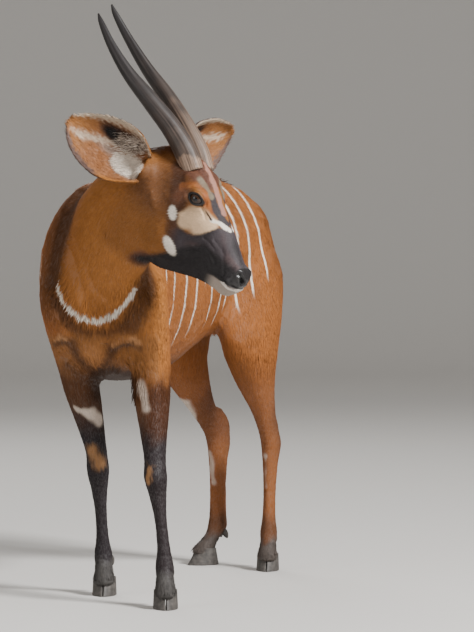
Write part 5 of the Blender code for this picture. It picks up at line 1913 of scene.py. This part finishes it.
def paint_ear(where, places, coat):
    """Brown back with a dark rim, and a pale hairy hollow with painted shade deep in its cup."""
    ragged = waves(places, 0.012, 71)
    drift = waves(places, 0.040, 73)
    tones = read_tones(coat)
    golden, brown, white, soot = tones.golden, tones.brown, tones.white, tones.soot
    paint = Paint(len(places), golden * 0.60)
    inside = where.inside * soft(where.along, 0.16, 0.22)
    along = where.along + 0.012 * ragged
    upper = where.upper + 0.002 * ragged

    def inner(tone, mask):
        paint.lay(tone, inside * mask)

    inner(golden * (0.72, 0.78, 1.35), 1)
    inner(golden * (0.62, 0.60, 0.80), soft(drift + 0.2 * ragged, -0.3, 0.9) * 0.8)
    inner(golden * (0.80, 0.85, 1.0), soft(where.along, 0.72, 0.92) * 0.8)
    inner(white * (0.30, 0.26, 0.25), patch(along, upper, (0.58, 0.006), (0.13, 0.012), edge=0.8) * 0.8)
    flat = np.stack([where.along * EAR_REACH, where.upper, np.zeros(len(places))], axis=1)
    streak = to_line(flat, [(share * EAR_REACH, height, 0.0) for share, height in EAR_STREAK])
    inner(white * (0.62, 0.54, 0.47), soft(streak + 0.005 * ragged, 0.0150, 0.0010) * 0.85)
    rim = soft(where.edge + 0.09 * ragged, 0.70, 0.90) * soft(upper, 0.00, 0.03)
    inner(white * (0.60, 0.52, 0.44), rim)
    inner(white * (0.85, 0.82, 0.80), patch(along, upper, (0.26, -0.006), (0.20, 0.026), edge=0.5))
    rim = soft(where.edge + 0.05 * ragged, 0.70, 0.85) * soft(upper, -0.02, -0.045)
    inner(golden * 1.05, rim)
    # Painted shade in the cup: darker on the upper wall and darkest deep in the hollow.
    inner(brown * (0.42, 0.36, 0.40), patch(along, upper, (0.50, 0.046), (0.27, 0.022), edge=0.35))
    inner(soot * 0.35, patch(along, upper, (0.67, 0.043), (0.11, 0.014), edge=0.6))
    rim = soft(where.edge + 0.07 * ragged, 0.72, 0.88) * soft(where.along, 0.46, 0.60)
    inner(soot * 3.4, rim * soft(upper, -0.010, -0.035) * 0.85)
    rim = soft(where.edge + 0.05 * ragged, 0.86, 0.97) * soft(where.along, 0.40, 0.60)
    paint.lay(soot * 2.6, rim * (1 - where.inside) * 0.85)
    return paint.colours


def lock_tones(where, places, coat):
    """Nearly white hair at the root of the ear, streaked with brown where it crosses the hollow."""
    tones = read_tones(coat)
    paint = Paint(len(places), tones.white * (0.95, 0.92, 0.90))
    paint.lay(tones.tan * 0.7, soft(waves(places, 0.010, 72), 0.2, 0.9) * 0.5)
    wall = soft(where.upper, 0.018, 0.032)
    paint.lay(tones.brown * 0.8, wall * soft(waves(places, 0.004, 74), -0.5, 0.3) * 0.9)
    return paint.colours


EAR_COAT = Coat(200000, 0.0100, 0.0022, 0.0007, 7, 0.15, short_tuft)
EAR_LOCKS = Coat(420000, 0.024, 0.0017, 0.0007, 11, 0.22, short_tuft)


def ear_coat(side, ear, where, coat, hair, seed):
    """Short hair all over the ear, longer and thinner in the hollow."""
    skin, normals, hollow = get_places(ear.data), get_normals(ear.data), where.inside

    def colours(roots, coat):
        return paint_ear(EarPlace(side, roots, inside=hollow[nearest_index(roots, skin)]), roots, coat)

    carrier = ear.copy()
    carrier.data = ear.data.copy()
    bpy.context.scene.collection.objects.link(carrier)
    lie = lay_flat(where.tangent, normals)
    prepare(carrier, lie, np.where(hollow, 1.3, 1.0), np.where(hollow, 0.62, 1.0))
    return grow(f"coat_ear_{side}", carrier, coat, EAR_COAT, hair, "ear", seed, colours)


def ear_locks(side, ear, where, coat, hair, seed):
    """Long hair that stands at the ear's root and lies over its hollow."""
    spots = face_centres(ear.data)
    middle = EarPlace(side, spots, inside=where.inside[nearest_index(spots, get_places(ear.data))])
    chosen = middle.inside & (middle.upper > -0.040) & (middle.along > 0.13) & (middle.along < 0.68)
    carrier = part_carrier(ear, chosen, "locks")
    spots, normals = get_places(carrier.data), get_normals(carrier.data)
    middle = EarPlace(side, spots)
    inward = lay_flat(0.9 * middle.tangent - SIDES[side] * middle.sideways, normals)
    base = patch(middle.along, middle.upper, (0.30, 0.000), (0.18, 0.026), edge=0.35)
    wall = patch(middle.along, middle.upper, (0.42, 0.043), (0.17, 0.022), edge=0.35)
    prepare(carrier, inward, 0.75 + 0.25 * base, np.maximum(base, 0.55 * wall))

    def colours(roots, coat):
        return lock_tones(EarPlace(side, roots), roots, coat)

    return grow(f"coat_ear_locks_{side}", carrier, coat, EAR_LOCKS, hair, "ear", seed, colours)


class BONGO_OT_ears(bpy.types.Operator):
    """Make both ears with their hair"""

    bl_idname = "bongo.ears"
    bl_label = "Ears"

    def execute(self, context):
        coat = context.scene.bongo_coat
        hair = coat_material("ear hair", 0.65, 0.15)
        bare = skin_material()
        for number, side in enumerate(SIDES):
            ear = make_ear(side)
            places = get_places(ear.data)
            where = EarPlace(side, places, get_normals(ear.data))
            give_colours(ear.data, paint_ear(where, places, coat))
            give_attribute(ear.data, "wet", "FLOAT", np.zeros(len(places)))
            finish_piece(ear_coat(side, ear, where, coat, hair, coat.seed + 200 + number), "ear_coat")
            finish_piece(ear_locks(side, ear, where, coat, hair, coat.seed + 210 + number), "ear_coat")
            dress_piece(ear, bare, "ear_coat", f"ear_{side}")
        return {"FINISHED"}


def eye_material():
    """A dark wet eye: the pupil, a brown iris and the dark edge of the white."""
    material, tree, shader = new_material("eye")
    tone = ramp_of(
        tree, stored_look(tree, "iris", "Fac"), (0.0, (0.002, 0.002, 0.003)), (1.0, (0.030, 0.014, 0.008)),
        (0.24, (0.003, 0.003, 0.004)), (0.34, (0.030, 0.013, 0.006)), (0.72, (0.016, 0.008, 0.005)),
    )
    wire(tree, shader, {
        "Base Color": tone, "Roughness": 0.07, "Specular IOR Level": 0.32, "Coat Weight": 0.3,
        "Coat Roughness": 0.02,
    })
    return material


class BONGO_OT_eyes(bpy.types.Operator):
    """Make both eyes"""

    bl_idname = "bongo.eyes"
    bl_label = "Eyes"

    def execute(self, context):
        material = eye_material()
        for side, sign in SIDES.items():
            place = EyePlace(sign)
            shape = bmesh.new()
            bmesh.ops.create_uvsphere(shape, u_segments=64, v_segments=40, radius=1.0)
            iris = []
            for vert in shape.verts:
                x, y, z = vert.co
                bulge = 0.0009 * max(0.0, 1 - (x * x + y * y) / 0.36) if z > 0 else 0.0
                iris.append(math.hypot(x * 0.75, y * 1.25) if z > 0 else 1.0)
                vert.co = place.point(*(Vector((x, y, z)) * (EYE_RADIUS - 0.0002 + bulge)))
            face_outwards(shape)
            eye = make_object(f"eyeball_{side}", shape)
            give_attribute(eye.data, "iris", "FLOAT", iris)
            dress_piece(eye, material, "eye", f"eye_{side}")
        return {"FINISHED"}


def horn_rings(side, keel, steps=12, sides=56):
    """Rings of a horn with a blunt keel that turns about a quarter round it, and faint grooves."""
    root = HORN[0]
    reach = HORN_REACH[side]
    read = smooth_rows([
        Horn(
            root.forward + (row.forward - root.forward) * reach,
            root.up + (row.up - root.up) * reach, row.apart, row.radius,
        )
        for row in HORN
    ], steps)
    rings = []
    for index, (forward, up, apart, radius) in enumerate(read):
        ahead = read[min(index + 1, len(read) - 1)]
        behind = read[max(index - 1, 0)]
        tangent = HeadFrame.way(*(ahead[:3] - behind[:3]) * (1, 1, side))
        out = tangent.cross(HeadFrame.up).normalized()
        above = out.cross(tangent)
        share = index / len(read)
        turn = side * (0.5 + 1.5 * share)
        low = 1 - share
        ring = []
        for step in range(sides):
            angle = math.tau * step / sides
            rib = 1.0 + keel * max(0.0, math.cos(angle - turn)) ** 6
            rib += 0.05 * max(0.0, math.cos(angle - turn + 2.6)) ** 8
            rib += 0.012 * low * math.sin(angle * 9 + 3 * math.sin(share * 9))
            rib += 0.010 * low * low * math.sin(share * 150 + 1.5 * math.sin(angle))
            thick = radius * rib
            ring.append(
                HeadFrame.point(forward, up, apart * side)
                + out * (thick * 0.85 * math.cos(angle)) + above * (thick * math.sin(angle))
            )
        rings.append(ring)
    return rings


HORN_BANDS = {
    "right": ((0.27, 1.00), (0.32, 0.28), (0.48, 0.12), (0.70, 0.03)),
    "left": ((0.30, 0.80), (0.46, 0.56), (0.62, 0.16), (0.80, 0.04)),
}


def horn_material(name, horn, bands):
    """Horn rubbed pale at its base that darkens towards its tip, streaked along its length."""
    material, tree, shader = new_material(name)
    where = put(tree, "ShaderNodeTexCoord").outputs["Object"]
    grain = noise(tree, stored_look(tree, "streak", "Vector"), 1.0, 5.0)
    mixed = sum_up(tree, "MULTIPLY", noise(tree, where, 22.0, 4.0), 0.40)
    pale_wear_and_highlight, dark = np.array(horn.pale_wear_and_highlight), np.array(horn.dark)
    tone = ramp_of(
        tree, sum_up(tree, "ADD", stored_look(tree, "along", "Fac"), mixed), (0.16, pale_wear_and_highlight), (1.0, dark),
        *((place, pale_wear_and_highlight * share + dark * (1 - share)) for place, share in bands),
    )
    wire(tree, shader, {
        "Base Color": scaled(tree, tone, spread(tree, grain, 0.35, 1.45, 0.35, 0.65)),
        "Roughness": spread(tree, grain, 0.34, 0.64),
        "Specular IOR Level": 0.32,
        "Normal": rough_up(tree, grain, 0.5, 0.0012),
    })
    return material


class BONGO_OT_horns(bpy.types.Operator):
    """Make both horns"""

    bl_idname = "bongo.horns"
    bl_label = "Horns"

    def execute(self, context):
        horn = context.scene.bongo_horn
        for side, sign in SIDES.items():
            rings = horn_rings(sign, horn.keel)
            count, sides = len(rings), len(rings[0])
            thing = make_object(f"horn_sheath_{side}", loft(rings))
            along = [ring / (count - 1) for ring in range(count) for _ in range(sides)] + [0.0, 1.0]
            turns = [math.tau * step / sides for step in range(sides)]
            streak = [
                (7 * math.cos(turn), 7 * math.sin(turn), 4.0 * ring / count)
                for ring in range(count) for turn in turns
            ] + [(0, 0, 0), (0, 0, 4.0)]
            give_attribute(thing.data, "along", "FLOAT", along)
            give_attribute(thing.data, "streak", "FLOAT_VECTOR", streak)
            dress_piece(thing, horn_material(f"horn_{side}", horn, HORN_BANDS[side]), "horn", f"horn_{side}")
        return {"FINISHED"}


def claw_shape(foot, side):
    """One half of a cloven hoof: flat below and inside, round outside, pointed at the toe."""
    heading = Vector(foot.heading).normalized()
    out = heading.cross(UP) * side
    profile = [
        (0.00, 0.55), (0.05, 0.72), (0.12, 0.84), (0.22, 0.94), (0.32, 1.00), (0.44, 1.00),
        (0.55, 0.97), (0.66, 0.88), (0.75, 0.76), (0.83, 0.60), (0.90, 0.42), (0.96, 0.24), (1.00, 0.10),
    ]
    rings = []
    for height in (0.0, 0.03, 0.15, 0.30, 0.45, 0.60, 0.75, 0.90, 1.0):
        heel = CLAW_LENGTH * (-0.5 + 0.10 * height)
        toe = CLAW_LENGTH * (0.5 - 0.30 * height - 0.02 * math.sin(math.pi * height))
        width = CLAW_WIDTH * (1 - 0.10 * height)
        edge = 0.965 if height == 0.0 else 1.0
        inner = 0.0013 + 0.0008 * height
        outline = [(heel + (toe - heel) * along, inner + width * reach * edge) for along, reach in profile]
        outline += [(toe, inner), (heel + (toe - heel) * 0.5, inner), (heel, inner)]
        rings.append([
            Vector((foot.x, foot.y, height * CORONET)) + heading * ahead + out * beside
            for ahead, beside in outline
        ])
    shape = bmesh.new()
    loops = [[shape.verts.new(point) for point in ring] for ring in rings]
    bridge(shape, loops)
    shape.faces.new(loops[0])
    shape.faces.new(loops[-1])
    face_outwards(shape)
    return shape


def dewclaw_shape(foot, side):
    """The small claw behind the fetlock."""
    heading = Vector(foot.heading).normalized()
    out = heading.cross(UP) * side
    down = (-UP - heading * 0.45 + out * 0.15).normalized()
    back = (down.cross(out)).normalized()
    centre = Vector((foot.x, foot.y, 0.095)) - heading * foot.rise + out * 0.016
    shape = bmesh.new()
    bmesh.ops.create_uvsphere(shape, u_segments=24, v_segments=16, radius=1.0)
    for vert in shape.verts:
        taper = 1.0 + 0.25 * vert.co.z
        vert.co = (
            centre + out * (vert.co.x * 0.0095 * taper) + back * (vert.co.y * 0.0095 * taper)
            - down * (vert.co.z * 0.0175)
        )
    face_outwards(shape)
    return shape


def hoof_material(horn):
    """Grey horn, scuffed, with faint level rings."""
    material, tree, shader = new_material("hoof")
    where = put(tree, "ShaderNodeTexCoord").outputs["Object"]
    level = put(tree, "ShaderNodeMapping", {"Vector": where, "Scale": (14.0, 14.0, 260.0)}).outputs[0]
    tone = np.array(horn.hoof)
    scuffed = ramp_of(tree, noise(tree, where, 90.0, 5.0), (0.35, tone * 0.65), (0.70, tone * 1.45))
    wire(tree, shader, {
        "Base Color": scuffed, "Roughness": 0.6,
        "Normal": rough_up(tree, noise(tree, level, 1.0, 3.0), 0.6, 0.001),
    })
    return material


class BONGO_OT_hooves(bpy.types.Operator):
    """Make the claws and dewclaws of the four feet"""

    bl_idname = "bongo.hooves"
    bl_label = "Hooves"

    def execute(self, context):
        material = hoof_material(context.scene.bongo_horn)
        for place, foot in FEET.items():
            outward = 1 if place.endswith("right") else -1
            for sign, side in ((outward, "outer"), (-outward, "inner")):
                claw = make_object(f"hoof_{place}_{side}", claw_shape(foot, sign))
                edge = claw.modifiers.new("edge", "BEVEL")
                edge.width = 0.0018
                edge.segments = 3
                edge.limit_method = "ANGLE"
                edge.angle_limit = math.radians(35)
                apply_modifiers(claw)
                spur = make_object(f"spur_{place}_{side}", dewclaw_shape(foot, sign))
                dress_piece(claw, material, "hoof", f"claw_{place}_{side}")
                dress_piece(spur, material, "hoof", f"dewclaw_{place}_{side}")
        return {"FINISHED"}


def tail_colours(places, coat):
    tones = read_tones(coat)
    paint = Paint(len(places), tones.chestnut * 0.7)
    paint.lay(tones.soot, soft(places[:, 2] + 0.02 * waves(places, 0.03, 81), 0.84, 0.74))
    return paint.colours


class BONGO_OT_tail(bpy.types.Operator):
    """Make the tail"""

    bl_idname = "bongo.tail"
    bl_label = "Tail"

    def execute(self, context):
        coat = context.scene.bongo_coat
        rows = [Limb(row.x, row.y, row.z, row.across - 0.002, row.along - 0.002) for row in TAIL]
        tail = make_object("tail_skin", path_shape(rows, steps=8, count=28))
        places = get_places(tail.data)
        give_colours(tail.data, tail_colours(places, coat))
        give_attribute(tail.data, "wet", "FLOAT", np.zeros(len(places)))
        hair = bpy.data.materials["hair"]
        high = face_centres(tail.data)[:, 2]
        for number, (name, chosen, kind) in enumerate((
            ("tail", high > 0.70, Coat(110000, 0.0150, 0.0028, 0.0008, 7, 0.12, short_tuft)),
            ("tuft", high < 0.90, Coat(26000, 0.080, 0.0060, 0.0032, 7, 0.10, long_lock)),
        )):
            carrier = part_carrier(tail, chosen, name)
            spots, normals = get_places(carrier.data), get_normals(carrier.data)
            low = soft(spots[:, 2], 0.92, 0.72)
            grown = 0.35 + 0.65 * low if name == "tuft" else np.ones(len(spots))
            dense = low if name == "tuft" else np.ones(len(spots))
            prepare(carrier, lie_of(spots, normals, tail_guides()), grown, dense)
            seed = coat.seed + 400 + number
            piece = grow(f"coat_{name}", carrier, coat, kind, hair, "tail", seed, tail_colours)
            finish_piece(piece, "dark_coat")
        dress_piece(tail, skin_material(), "dark_coat", "tail")
        return {"FINISHED"}


FLOOR_RADIUS = 14.0
COVE_RADIUS = 5.0
WALL_TOP = 11.0
LAMPS = (
    ("key lamp", (4.6, -4.4, 5.4), 1.6, "key", 1.0),
    ("fill lamp", (-5.0, -4.5, 2.6), 3.5, "fill", 1.0),
    ("rim lamp", (-2.0, 6.0, 5.0), 3.0, "fill", 1.4),
)


def floor_shape(sides=96, steps=12):
    """A round floor that turns up into a wall through a wide cove."""
    profile = [(FLOOR_RADIUS, 0.0)]
    for step in range(1, steps + 1):
        angle = math.radians(90) * step / steps
        profile.append((
            FLOOR_RADIUS + COVE_RADIUS * math.sin(angle), COVE_RADIUS - COVE_RADIUS * math.cos(angle),
        ))
    profile.append((FLOOR_RADIUS + COVE_RADIUS, WALL_TOP))
    turns = [math.tau * step / sides for step in range(sides)]
    shape = bmesh.new()
    rings = [
        [
            shape.verts.new((radius * math.cos(turn), radius * math.sin(turn), height - FLOOR_GAP))
            for turn in turns
        ]
        for radius, height in profile
    ]
    shape.faces.new(rings[0])
    bridge(shape, rings[::-1])
    return shape


class BONGO_OT_stage(bpy.types.Operator):
    """Make the floor, the lights and the camera"""

    bl_idname = "bongo.stage"
    bl_label = "Stage"

    def execute(self, context):
        stage = context.scene.bongo_stage
        floor = make_object("floor", floor_shape())
        floor.data.shade_smooth()
        material, tree, shader = new_material("floor")
        wire(tree, shader, {"Base Color": (*stage.floor, 1), "Roughness": 0.9})
        floor.data.materials.append(material)
        for name, place, size, power, share in LAMPS:
            lamp = bpy.data.lights.new(name, "AREA")
            lamp.size = size
            lamp.energy = getattr(stage, power) * share
            holder = bpy.data.objects.new(name, lamp)
            context.scene.collection.objects.link(holder)
            holder.location = place
            aim = Vector((0, 0, 0.8)) - Vector(place)
            holder.rotation_euler = aim.to_track_quat("-Z", "Y").to_euler()
        world = bpy.data.worlds.new("sky")
        world.use_nodes = True
        wire(world.node_tree, world.node_tree.nodes["Background"], {
            "Color": (0.90, 0.885, 0.87, 1), "Strength": stage.sky,
        })
        context.scene.world = world
        lens = bpy.data.cameras.new("camera")
        lens.lens = stage.focal / PICTURE_HEIGHT * SENSOR
        lens.sensor_width = SENSOR
        lens.sensor_fit = "AUTO"
        camera = bpy.data.objects.new("camera", lens)
        context.scene.collection.objects.link(camera)
        camera.location = Vector((0.0, -stage.distance, stage.height)) + frame_shift()
        camera.rotation_euler = (math.pi / 2 - math.atan(HORIZON_DROP / stage.focal), 0, 0)
        context.scene.camera = camera
        return {"FINISHED"}


PIECES = (
    BONGO_OT_skin, BONGO_OT_fringes, BONGO_OT_ears, BONGO_OT_eyes, BONGO_OT_horns, BONGO_OT_hooves,
    BONGO_OT_tail, BONGO_OT_stage,
)

SETTINGS = {"bongo_coat": BongoCoat, "bongo_horn": BongoHorn, "bongo_stage": BongoStage}


class BONGO_PT_pieces(bpy.types.Panel):
    """The pieces of the antelope, each with its button"""

    bl_label = "Bongo antelope"
    bl_idname = "BONGO_PT_pieces"
    bl_space_type = "VIEW_3D"
    bl_region_type = "UI"
    bl_category = "Bongo"

    def draw(self, context):
        for piece in PIECES:
            self.layout.operator(piece.bl_idname)


def register():
    for group in SETTINGS.values():
        bpy.utils.register_class(group)
    for piece in (*PIECES, BONGO_PT_pieces):
        bpy.utils.register_class(piece)
    for name, group in SETTINGS.items():
        setattr(bpy.types.Scene, name, PointerProperty(type=group))


def unregister():
    for name in SETTINGS:
        delattr(bpy.types.Scene, name)
    for piece in (BONGO_PT_pieces, *reversed(PIECES)):
        bpy.utils.unregister_class(piece)
    for group in reversed(SETTINGS.values()):
        bpy.utils.unregister_class(group)


def main():
    register()
    bpy.ops.bongo.skin()
    bpy.ops.bongo.fringes()
    bpy.ops.bongo.ears()
    bpy.ops.bongo.eyes()
    bpy.ops.bongo.horns()
    bpy.ops.bongo.hooves()
    bpy.ops.bongo.tail()
    bpy.ops.bongo.stage()


if __name__ == "__main__":
    main()
